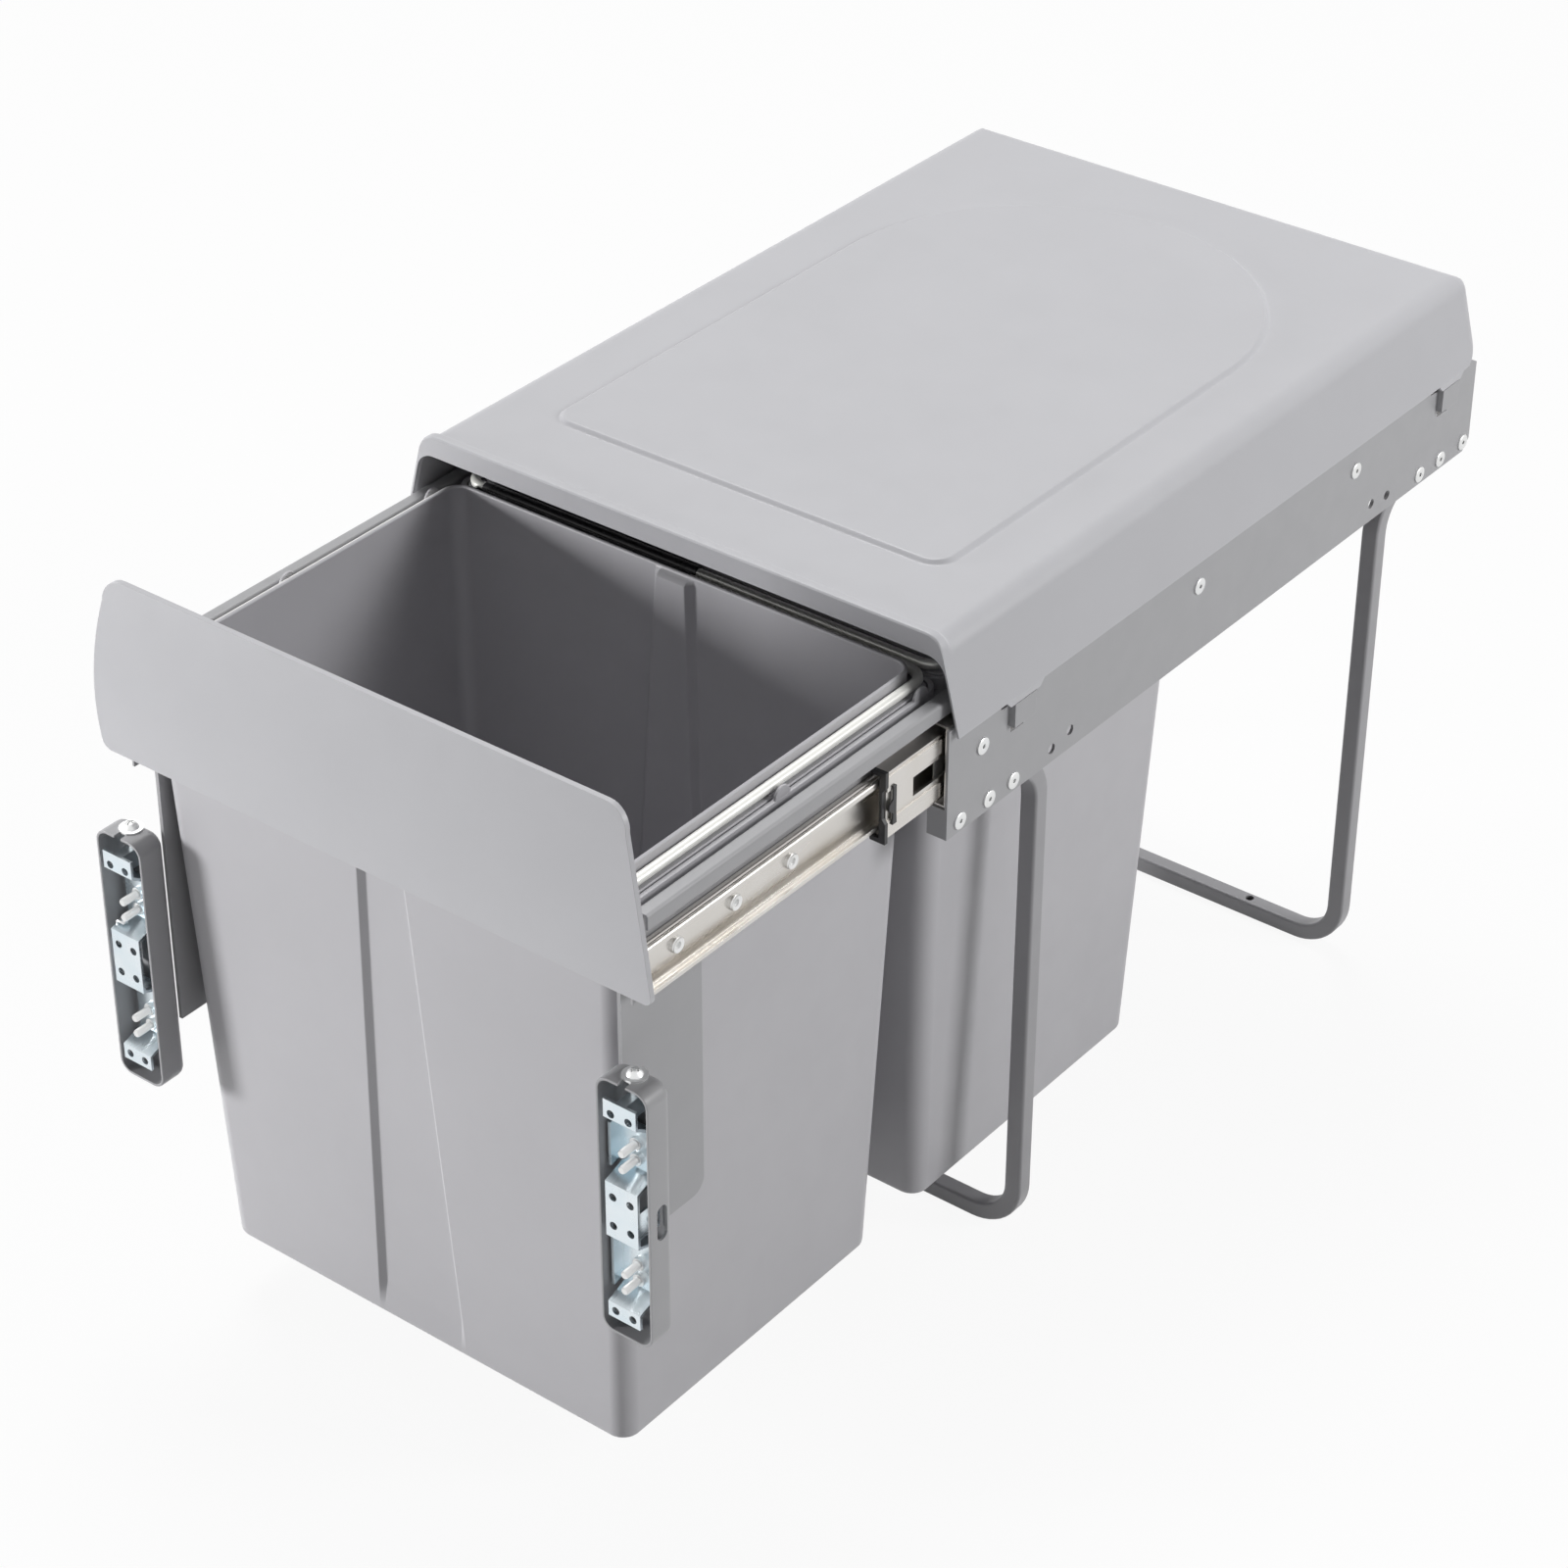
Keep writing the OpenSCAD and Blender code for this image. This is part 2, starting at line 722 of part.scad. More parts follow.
module adjust_screw() color(white_zinc)
    translate([tray_x, adjust_y, 0]) {
        translate([0, 0, adjust_end])
            cylinder(h = tray_top + washer_t + adjust_head_h / 4 - adjust_end, d = adjust_d);
        translate([0, 0, collar_top - collar_t])
            cylinder(h = collar_t, d = collar_d);
        translate([0, 0, tray_top + washer_t])
            difference() {
                dome(adjust_head_d, adjust_head_h);
                translate([0, 0, adjust_head_h])
                    cross_recess(adjust_head_d * 0.58, adjust_head_h / 2);
            }
    }

// Front panel: a shield bent to a gentle bulge, with a boss for each fixing angle
panel_radius = (panel_h * panel_h / 4 + panel_bulge * panel_bulge) / (2 * panel_bulge);
panel_half = half_w - 4;
panel_shoulder_z = panel_z - 6;
panel_round = 12;
clip_z = [slide_z + 9, ledge_z - 3];
clip_len = 31;
boss_x = [rail_web_in - 15.8, slide_in];
clip_screw_x = [rail_web_in - 10.8, rail_web_in - 4.8];
clip_screw_z = (clip_z[0] + clip_z[1]) / 2;
clip_screw_d = 3;
clip_head_d = 5.2;
clip_head_h = 1.4;
panel_low_round = 5;
panel_lean = 1.5;

module panel_outline() {
    low_round = panel_low_round;
    top_half = panel_top_w / 2;
    for (side = [-1, 1]) {
        translate([side * (panel_half - low_round), panel_low + low_round])
            circle(low_round);
        translate([side * (top_half - panel_round), panel_high - panel_round])
            circle(panel_round);
    }
    polygon([
        [low_round - panel_half, panel_low], [panel_half - low_round, panel_low],
        [panel_half, panel_low + low_round], [panel_half - panel_lean, panel_shoulder_z],
        [top_half, panel_high - panel_round], [top_half - panel_round, panel_high],
        [panel_round - top_half, panel_high], [-top_half, panel_high - panel_round],
        [panel_lean - panel_half, panel_shoulder_z], [-panel_half, panel_low + low_round]
    ]);
}

module front_panel() color(light_plastic)
    difference() {
        union() {
            intersection() {
                along_y(panel_front - past, panel_front + 3 * panel_bulge)
                    panel_outline();
                difference() {
                    rod_x(-half_w, half_w, panel_front + panel_radius, panel_z, 2 * panel_radius, $fn = 96);
                    rod_x(-half_w - past, half_w + past, panel_front + panel_radius, panel_z,
                        2 * (panel_radius - panel_t), $fn = 96);
                }
            }
            for (side = [0, 1])
                mirror([side, 0, 0])
                    box(boss_x, [panel_front + panel_t, rail_front], [clip_z[0] - 2, clip_z[1] + 2]);
        }
        for (side = [0, 1])
            mirror([side, 0, 0])
                for (x = clip_screw_x)
                    rod_y(panel_front + panel_t, rail_front + past, x, clip_screw_z, clip_screw_d);
    }

// Angle between the panel's boss and the rail
module panel_clip() color(grey_paint) {
    box([rail_web_in - sheet, rail_web_in], [rail_front, rail_front + clip_len], clip_z);
    difference() {
        box([boss_x[0], rail_web_in], [rail_front, rail_front + sheet], clip_z);
        for (x = clip_screw_x)
            rod_y(rail_front - past, rail_front + sheet + past, x, clip_screw_z, clip_screw_d);
    }
}

module panel_screws() color(white_zinc)
    for (side = [0, 1])
        mirror([side, 0, 0])
            for (x = clip_screw_x) {
                rod_y(panel_front + panel_t, rail_front + sheet + clip_head_h / 2, x, clip_screw_z,
                    clip_screw_d);
                translate([x, rail_front + sheet, clip_screw_z])
                    rotate([-90, 0, 0])
                        dome(clip_head_d, clip_head_h);
            }

// Bin, drawn with the front of its rim at Y = 0
floor_t = 2.5;
wire_z = shoulder_z + grip / 2;
ear_y = [bin_len / 2 - 4, bin_len - 9];
ear_d = 11;
ear_t = 1.5;
shoulder_t = 2;
shoulder_root = 3;
pad_side = 2.2;
pad_half = 4;
wire_gap = 0.5;
wire_x = bin_half + wire / 2 + wire_gap;
gutter_x = [wire_x + wire / 2 + 0.6, shoulder_x - 1];
gutter_d = 5;
gutter_end = 4;

// Tapered body inset by the wall thickness, between heights low and high
module bin_body(inset, low, high) {
    hull()
        for (z = [low, high]) {
            draw = bin_taper * (rim_z - z) / bin_depth;
            for (x = [draw + bin_corner - bin_half, bin_half - bin_corner - draw])
                for (y = [draw + bin_corner, bin_len - bin_corner - draw])
                    translate([x, y, z])
                        cylinder(h = 0.01, r = bin_corner - inset, $fn = 40);
        }
}

// Wedge of the groove in the front wall, widened by grow on its sides and inner face
module groove(grow) {
    lean = atan(bin_taper / bin_depth);
    slant = bin_depth / cos(lean);
    translate([0, 0, rim_z])
        rotate([90 + lean, 0, 0])
            translate([0, 0, -groove_d - grow])
                linear_extrude(groove_d + grow + past)
                    polygon([
                        [-groove_top / 2 - grow, 0], [-groove_low / 2 - grow, -slant - past],
                        [groove_low / 2 + grow, -slant - past], [groove_top / 2 + grow, 0]
                    ]);
}

module both_ends() {
    children();
    translate([0, bin_len, 0])
        mirror([0, 1, 0])
            children();
}

module shoulder_outline()
    rounded([-shoulder_x, shoulder_x], [-shoulder_end, bin_len + shoulder_end], bin_corner);

// Hollow under the shoulder, inside the gutters
module shoulder_hollow() {
    half = gutter_x[0] - shoulder_t;
    rounded([-half, half], [shoulder_t - shoulder_end, bin_len + shoulder_end - shoulder_t],
        bin_corner - shoulder_t);
}

module bin() color(bin_plastic)
    difference() {
        union() {
            difference() {
                bin_body(0, bin_low, rim_z);
                difference() {
                    both_ends()
                        groove(0);
                    translate([-bin_half, -past, shoulder_z - shoulder_t])
                        cube([2 * bin_half, bin_len + 2 * past, rim_h + 2 * shoulder_t]);
                }
            }
            difference() {
                translate([0, 0, ledge_z])
                    linear_extrude(shoulder_h)
                        shoulder_outline();
                translate([0, 0, ledge_z - past])
                    linear_extrude(shoulder_h + past - shoulder_t)
                        difference() {
                            shoulder_hollow();
                            translate([shoulder_root - bin_half, shoulder_root])
                                square([2 * (bin_half - shoulder_root), bin_len - 2 * shoulder_root]);
                        }
                for (side = [0, 1])
                    mirror([side, 0, 0])
                        box(gutter_x, [gutter_end, bin_len - gutter_end],
                            [shoulder_z - gutter_d, shoulder_z + past]);
            }
            for (side = [0, 1])
                mirror([side, 0, 0])
                    for (y = ear_y) {
                        rod_x(shoulder_x - ear_t, shoulder_x, y, shoulder_z, ear_d);
                        box([wire_x - pad_side, wire_x + pad_side], [y - pad_half, y + pad_half],
                            [shoulder_z - past, shoulder_z + (grip - wire) / 2]);
                    }
        }
        difference() {
            bin_body(bin_wall, bin_low + floor_t, rim_z + past);
            both_ends()
                groove(bin_wall);
        }
    }

// Wire ring that lies on the bin's shoulder, and the sleeve on the bar that faces the other bin
wire_bend = 10;
wire_end = 3.8;
grip_x = [wire_bend + 2 - wire_x, 4];

module handle() color(white_zinc) {
    y_ends = [-wire_end, bin_len + wire_end];
    for (side = [0, 1])
        mirror([side, 0, 0])
            translate([wire_x, y_ends[0] + wire_bend, wire_z])
                rotate([-90, 0, 0])
                    cylinder(h = y_ends[1] - y_ends[0] - 2 * wire_bend, d = wire);
    for (y = y_ends)
        rod_x(wire_bend - wire_x, wire_x - wire_bend, y, wire_z, wire);
    for (side = [0, 1])
        mirror([side, 0, 0])
            for (end = [0, 1])
                translate([wire_x - wire_bend, y_ends[end] + (1 - 2 * end) * wire_bend, wire_z])
                    rotate([0, 0, 90 * end - 90])
                        rotate_extrude(angle = 90)
                            translate([wire_bend, 0])
                                circle(d = wire);
}

module grip_sleeve(y) color(black_plastic)
    difference() {
        rod_x(grip_x[0], grip_x[1], y, wire_z, grip);
        rod_x(grip_x[0] - past, grip_x[1] + past, y, wire_z, wire);
    }

module front_bin()
    translate([0, bin_front, 0])
        bin();

module front_handle()
    translate([0, bin_front, 0])
        handle();

module front_grip()
    grip_sleeve(bin_front + bin_len + wire_end);

module rear_bin()
    translate([0, rear_bin_front, 0])
        bin();

module rear_handle()
    translate([0, rear_bin_front, 0])
        handle();

module rear_grip()
    grip_sleeve(rear_bin_front - wire_end);

// Door plate: one folded strip with three tabs and two recesses between them. Its steps, from the top of
// the tray: gap, top tab, fold, recess, fold, middle tab, fold, recess, fold, bottom tab.
tab_back = tab_front + 12;
strip_steps = [10, 10, 8, 24, 4, 31, 4, 30, 4.5, 8.5];
function drop(i) = i == 0 ? strip_steps[0] : drop(i - 1) + strip_steps[i];
fold_z = [for (i = [0 : 9]) tray_top - drop(i)];
tab_hole_z = [fold_z[0] - 7, fold_z[4] - 7.7, fold_z[5] + 7, fold_z[9] + 4.2];
nut_z = [fold_z[0] - 10, fold_z[0]];
nut_half = adjust_d / 2 + 0.85;
lock_ear_z = [slot_z - 7.5, slot_z + 7.5];
lock_ear_past = 5;
wing_x = tray_x - tray_w / 2 + 3;
wing_d = 6;
thread_play = 0.05;
lock_d = 4;
tab_right = tray_x + tab_w / 2;

// Shift along the strip of the back face's fold lines, for a fold from tab to recess
function fold_shift(i) = sheet * tan(atan(abs(tab_back - tab_front) / (fold_z[i] - fold_z[i + 1])) / 2);

module strip_profile()
    polygon([
        [tab_front, fold_z[0]], [tab_front, fold_z[1]], [tab_back, fold_z[2]], [tab_back, fold_z[3]],
        [tab_front, fold_z[4]], [tab_front, fold_z[5]], [tab_back, fold_z[6]], [tab_back, fold_z[7]],
        [tab_front, fold_z[8]], [tab_front, fold_z[9]],
        [tab_front + sheet, fold_z[9]], [tab_front + sheet, fold_z[8] - fold_shift(7)],
        [tab_back + sheet, fold_z[7] - fold_shift(7)], [tab_back + sheet, fold_z[6] + fold_shift(5)],
        [tab_front + sheet, fold_z[5] + fold_shift(5)], [tab_front + sheet, fold_z[4] - fold_shift(3)],
        [tab_back + sheet, fold_z[3] - fold_shift(3)], [tab_back + sheet, fold_z[2] + fold_shift(1)],
        [tab_front + sheet, fold_z[1] + fold_shift(1)], [tab_front + sheet, fold_z[0]]
    ]);

module recess_wing(z) {
    box([wing_x, tray_x], [tab_back, tab_back + sheet], z);
    box([wing_x, wing_x + sheet], [tab_back - wing_d, tab_back + sheet], z);
}

module door_plate() color(blue_zinc) {
    difference() {
        along_x(tray_x - tab_w / 2, tab_right)
            strip_profile();
        for (z = tab_hole_z)
            for (side = [-1, 1])
                rod_y(tab_front - past, tab_front + sheet + past, tray_x + side * tab_hole_pitch / 2, z,
                    tab_hole_d);
    }
    recess_wing([fold_z[3], fold_z[2]]);
    recess_wing([fold_z[7], fold_z[6]]);
    difference() {
        box([tray_x - nut_half, tray_x + nut_half], [tab_front + sheet / 2, tray_rear - sheet - play], nut_z);
        translate([tray_x, adjust_y, nut_z[0] - past])
            cylinder(h = nut_z[1] - nut_z[0] + 2 * past, d = adjust_d + 2 * thread_play);
    }
    difference() {
        box([tab_right - sheet, tab_right], [tab_front + sheet / 2, lock_y + lock_ear_past], lock_ear_z);
        rod_x(tab_right - sheet - past, tab_right + past, lock_y, slot_z, lock_d);
    }
}

// Threaded studs that stand in the recesses
stud_d = 4.2;
stud_base_d = 6.6;
stud_base_t = 2;
stud_inset = 0.5;
stud_z = [fold_z[2] - 9.5, fold_z[2] - 18.5, fold_z[6] - 15.7, fold_z[6] - 25];

module door_studs() color(white_zinc)
    for (z = stud_z) {
        rod_y(tab_front + stud_inset, tab_back, tray_x, z, stud_d);
        rod_y(tab_back - stud_base_t, tab_back, tray_x, z, stud_base_d);
    }

// Screw in the plate's ear that locks the height, reached through the slot in the tray's side
lock_len = 6;
lock_head_d = 6.4;
lock_head_h = 2.6;

module lock_screw() color(white_zinc) {
    rod_x(tab_right - lock_len, tab_right + lock_head_h / 4, lock_y, slot_z, lock_d);
    translate([tab_right, lock_y, slot_z])
        rotate([0, 90, 0])
            difference() {
                dome(lock_head_d, lock_head_h);
                translate([0, 0, lock_head_h])
                    cross_recess(lock_head_d * 0.6, lock_head_h / 2);
            }
}

// Places a piece so that the origin is on the floor at the middle of the whole
module placed()
    translate([0, -origin_y, 0])
        children();

module mirrored()
    mirror([1, 0, 0])
        children();

placed() cover();
placed() side_plate();  // side_plate_right
placed() mirrored() side_plate();  // side_plate_left
placed() front_leg();
placed() rear_leg();
placed() slide_outer();  // slide_outer_right
placed() mirrored() slide_outer();  // slide_outer_left
placed() slide_rivets();  // slide_rivets_right
placed() mirrored() slide_rivets();  // slide_rivets_left
placed() leg_rivets();  // leg_rivets_right
placed() mirrored() leg_rivets();  // leg_rivets_left
placed() slide_middle();  // slide_middle_right
placed() mirrored() slide_middle();  // slide_middle_left
placed() slide_cap();  // slide_cap_right
placed() mirrored() slide_cap();  // slide_cap_left
placed() outer_cage();  // outer_cage_right
placed() mirrored() outer_cage();  // outer_cage_left
placed() outer_balls();  // outer_balls_right
placed() mirrored() outer_balls();  // outer_balls_left
placed() inner_cage();  // inner_cage_right
placed() mirrored() inner_cage();  // inner_cage_left
placed() inner_balls();  // inner_balls_right
placed() mirrored() inner_balls();  // inner_balls_left
placed() slide_inner();  // slide_inner_right
placed() mirrored() slide_inner();  // slide_inner_left
placed() rail();  // rail_right
placed() mirrored() rail();  // rail_left
placed() rail_screws();  // rail_screws_right
placed() mirrored() rail_screws();  // rail_screws_left
placed() rear_tie();
placed() arm();  // arm_right
placed() mirrored() arm();  // arm_left
placed() tray();  // tray_right
placed() mirrored() tray();  // tray_left
placed() adjust_washer();  // adjust_washer_right
placed() mirrored() adjust_washer();  // adjust_washer_left
placed() front_panel();
placed() panel_clip();  // panel_clip_right
placed() mirrored() panel_clip();  // panel_clip_left
placed() panel_screws();
placed() front_bin();
placed() front_handle();
placed() front_grip();
placed() rear_bin();
placed() rear_handle();
placed() rear_grip();
placed() door_plate();  // door_plate_right
placed() mirrored() door_plate();  // door_plate_left
placed() door_studs();  // door_studs_right
placed() mirrored() door_studs();  // door_studs_left
placed() lock_screw();  // lock_screw_right
placed() mirrored() lock_screw();  // lock_screw_left
placed() adjust_screw();  // adjust_screw_right
placed() mirrored() adjust_screw();  // adjust_screw_left
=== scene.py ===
"""Pull-out bin set: detailed pieces, finishes, studio and camera."""

import json
from math import ceil, cos, pi, radians, sin, sqrt, tan

import bmesh
import bpy
from mathutils import Matrix, Vector


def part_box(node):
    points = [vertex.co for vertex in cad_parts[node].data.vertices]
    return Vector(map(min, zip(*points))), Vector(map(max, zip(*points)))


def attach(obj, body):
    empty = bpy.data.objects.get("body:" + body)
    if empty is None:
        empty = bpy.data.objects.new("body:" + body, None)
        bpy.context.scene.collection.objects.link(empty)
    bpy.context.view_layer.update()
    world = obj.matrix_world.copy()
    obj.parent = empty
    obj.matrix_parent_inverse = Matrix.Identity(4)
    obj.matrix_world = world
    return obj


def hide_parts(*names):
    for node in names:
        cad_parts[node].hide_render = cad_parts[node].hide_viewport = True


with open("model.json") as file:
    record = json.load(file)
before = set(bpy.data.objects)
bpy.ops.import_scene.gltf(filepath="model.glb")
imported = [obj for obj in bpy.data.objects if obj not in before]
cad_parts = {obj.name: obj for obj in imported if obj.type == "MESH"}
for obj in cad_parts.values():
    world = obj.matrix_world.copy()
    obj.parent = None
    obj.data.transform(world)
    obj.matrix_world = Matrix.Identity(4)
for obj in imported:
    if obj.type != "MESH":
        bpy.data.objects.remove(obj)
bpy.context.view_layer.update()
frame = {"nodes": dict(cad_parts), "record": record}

MM = 0.001
# Folds at or above this angle are shaded as edges
SHARP = radians(38)
# Sheet of the folded steel pieces
SHEET = 1.5 * MM
# Points nearer to each other than this are one point
WELD = 0.001 * MM
# Fine and usual rounding on the edges of pieces
FINE_EDGE = 0.25 * MM
SHEET_EDGE = 0.4 * MM
BODY_OF = {node: body for body, nodes in frame["record"]["behaviour"]["bodies"].items() for node in nodes}
SLOT_OF = {part["node"]: part["material_slot"] for part in frame["record"]["subparts"]}
SIDES = {"right": 1, "left": -1}


# Outlines


def ease(share):
    """Smooth step from 0 to 1."""
    share = min(max(share, 0.0), 1.0)
    return share * share * (3 - 2 * share)


def spread(start, end, steps):
    """Evenly spaced values from start to end."""
    return [start + (end - start) * i / steps for i in range(steps + 1)]


def arc(centre, radius, start, end, steps):
    """Points on an arc between two angles in degrees."""
    return [
        Vector((centre[0] + radius * cos(radians(a)), centre[1] + radius * sin(radians(a))))
        for a in spread(start, end, steps)
    ]


def rounded_rect(half_u, half_v, radius, steps=6):
    """Closed outline about the origin."""
    outline = []
    for u, v, start in ((1, 1, 0), (-1, 1, 90), (-1, -1, 180), (1, -1, 270)):
        outline += arc((u * (half_u - radius), v * (half_v - radius)), radius, start, start + 90, steps)
    return outline


def rounded_path(points, radius, steps=4):
    """Line through points with its corners rounded."""
    points = [Vector(point) for point in points]
    line = [points[0]]
    for before, corner, after in zip(points, points[1:], points[2:]):
        back = (before - corner).normalized()
        ahead = (after - corner).normalized()
        half = back.angle(ahead) / 2
        centre = corner + (back + ahead).normalized() * radius / sin(half)
        first = corner + back * radius / tan(half) - centre
        last = corner + ahead * radius / tan(half) - centre
        turn = first.angle(last)
        for share in spread(0, 1, steps):
            line.append(centre + (first * sin((1 - share) * turn) + last * sin(share * turn)) / sin(turn))
    return line + [points[-1]]


def folded(points, thickness, bend):
    """Closed outline of a folded strip whose middle line runs through points."""
    line = rounded_path(points, bend + thickness / 2)
    left, right = [], []
    for i, point in enumerate(line):
        along = (line[min(i + 1, len(line) - 1)] - line[max(i - 1, 0)]).normalized()
        across = Vector((-along.y, along.x)) * thickness / 2
        left.append(point + across)
        right.append(point - across)
    return left + right[::-1]


def swept(path, across, outline):
    """Rings of an outline carried along a path; across is its first axis at the start."""
    rings = []
    for i, point in enumerate(path):
        along = (path[min(i + 1, len(path) - 1)] - path[max(i - 1, 0)]).normalized()
        across = (across - along * across.dot(along)).normalized()
        other = along.cross(across)
        rings.append([point + across * u + other * v for u, v in outline])
    return rings


def rolled_edge(radius, steps=4):
    """Inset and drop of a quarter round, from the face to the side."""
    return [(radius * (1 - sin(radians(a))), radius * (1 - cos(radians(a)))) for a in spread(0, 90, steps)]


# Pieces


class Shell:
    """Points and faces of one piece, gathered part by part."""

    def __init__(self):
        self.points = []
        self.faces = []

    def skin(self, rings, closed=True):
        """Faces between rings of equal length; gives back the point numbers."""
        numbers = []
        for ring in rings:
            first = len(self.points)
            self.points += [Vector(point) for point in ring]
            numbers.append(list(range(first, len(self.points))))
        for ring, after in zip(numbers, numbers[1:]):
            for i in range(len(ring) if closed else len(ring) - 1):
                j = (i + 1) % len(ring)
                self.faces.append((ring[i], ring[j], after[j], after[i]))
        return numbers

    def loft(self, rings):
        """Solid through rings, with a face on each end."""
        numbers = self.skin(rings)
        self.faces.append(tuple(reversed(numbers[0])))
        self.faces.append(tuple(numbers[-1]))

    def along_y(self, outline, y0, y1):
        """Outline in X and Z, run along Y."""
        self.loft([[(x, y, z) for x, z in outline] for y in (y0, y1)])

    def along_x(self, outline, x0, x1):
        """Outline in Y and Z, run along X."""
        self.loft([[(x, y, z) for y, z in outline] for x in (x0, x1)])

    def block(self, low, high, radius):
        """Box with rounded edges."""
        low, high = Vector(low), Vector(high)
        middle, half = (low + high) / 2, (high - low) / 2
        edge = rolled_edge(radius, 3)
        ends = [(inset, half.z - drop) for inset, drop in edge]
        rows = [(inset, -z) for inset, z in ends] + ends[::-1]
        rings = []
        for inset, z in rows:
            outline = rounded_rect(half.x - inset, half.y - inset, max(radius - inset, radius / 20), 3)
            rings.append([(middle.x + u, middle.y + v, middle.z + z) for u, v in outline])
        self.loft(rings)

    def lathe(self, profile, place, steps=32):
        """Solid of revolution about the local Z of place; profile holds (along, radius)."""
        turns = [2 * pi * i / steps for i in range(steps)]
        self.loft([[place @ Vector((r * cos(a), r * sin(a), z)) for a in turns] for z, r in profile])

    def thread(self, place, length, radius, pitch, depth, steps=20):
        """Screw thread along the local Z of place, running out at its tip."""
        rings_per_turn = 8
        rings = []
        for along in spread(0, length, ceil(rings_per_turn * length / pitch)):
            tip = depth * ease(1 - (length - along) / pitch)
            ring = []
            for i in range(steps):
                phase = (along / pitch - i / steps) % 1
                r = radius - max(depth * abs(2 * phase - 1), tip)
                turn = 2 * pi * i / steps
                ring.append(place @ Vector((r * cos(turn), r * sin(turn), along)))
            rings.append(ring)
        self.loft(rings)

    def tube(self, path, across, outer, inner):
        """Hollow bar along a path."""
        skins = [self.skin(swept(path, across, outline)) for outline in (outer, inner)]
        for end in (0, -1):
            for i in range(len(outer)):
                j = (i + 1) % len(outer)
                self.faces.append((skins[0][end][i], skins[0][end][j], skins[1][end][j], skins[1][end][i]))


def facing_x(point):
    """Place whose local Z is the X axis."""
    return Matrix.Translation(point) @ Matrix.Rotation(pi / 2, 4, "Y")


def facing_front(point):
    """Place whose local Z points to the front."""
    return Matrix.Translation(point) @ Matrix.Rotation(pi / 2, 4, "X")


def build(name, shell, side=1):
    """Object made from a shell, mirrored for the left side."""
    mesh = bpy.data.meshes.new(name)
    mesh.from_pydata([(side * p.x, p.y, p.z) for p in shell.points], [], shell.faces)
    work = bmesh.new()
    work.from_mesh(mesh)
    bmesh.ops.remove_doubles(work, verts=work.verts, dist=WELD)
    bmesh.ops.recalc_face_normals(work, faces=work.faces)
    work.to_mesh(mesh)
    work.free()
    piece = bpy.data.objects.new(name, mesh)
    bpy.context.scene.collection.objects.link(piece)
    return piece


def cut(piece, shell, side=1):
    """Takes the volume of a shell out of a piece."""
    cutter = build("cutter", shell, side)
    change = piece.modifiers.new("cut", "BOOLEAN")
    change.solver = "EXACT"
    change.object = cutter
    bpy.context.view_layer.update()
    piece.data = bpy.data.meshes.new_from_object(piece.evaluated_get(bpy.context.evaluated_depsgraph_get()))
    piece.modifiers.clear()
    bpy.data.objects.remove(cutter)


def join(piece, other):
    """Adds the mesh of another object to a piece."""
    work = bmesh.new()
    work.from_mesh(piece.data)
    work.from_mesh(other.data)
    work.to_mesh(piece.data)
    work.free()
    bpy.data.objects.remove(other)


def solids(node):
    """Low and high corners of each loose solid of a node."""
    piece = frame["nodes"][node]
    work = bmesh.new()
    work.from_mesh(piece.data)
    bmesh.ops.remove_doubles(work, verts=work.verts, dist=10 * WELD)
    unseen = set(work.verts)
    boxes = []
    while unseen:
        border = [unseen.pop()]
        points = []
        while border:
            point = border.pop()
            points.append(piece.matrix_world @ point.co)
            beside = {link.other_vert(point) for link in point.link_edges} & unseen
            unseen -= beside
            border += beside
        boxes.append((Vector(map(min, *points)), Vector(map(max, *points))))
    work.free()
    return boxes


def round_edges(piece, width):
    """Small rounding on every sharp edge."""
    bevel = piece.modifiers.new("edges", "BEVEL")
    bevel.width = width
    bevel.segments = 2
    bevel.limit_method = "ANGLE"
    bevel.angle_limit = SHARP
    bevel.harden_normals = True


def dress(piece, node, *more, bevel=0):
    """Lets a piece stand for nodes, with their finish and body."""
    piece.data.materials.append(FINISH[SLOT_OF[node]])
    piece.data.shade_smooth()
    piece.data.set_sharp_from_angle(angle=SHARP)
    if bevel:
        round_edges(piece, bevel)
    flat = piece.modifiers.new("flat_faces", "WEIGHTED_NORMAL")
    flat.keep_sharp = True
    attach(piece, BODY_OF[node])
    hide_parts(node, *more)


def keep(node, bevel=0):
    """Gives a node that stays its finish and rounded edges."""
    piece = frame["nodes"][node]
    for slot in piece.material_slots:
        slot.material = FINISH[SLOT_OF[node]]
    if bevel:
        round_edges(piece, bevel)


# Finishes


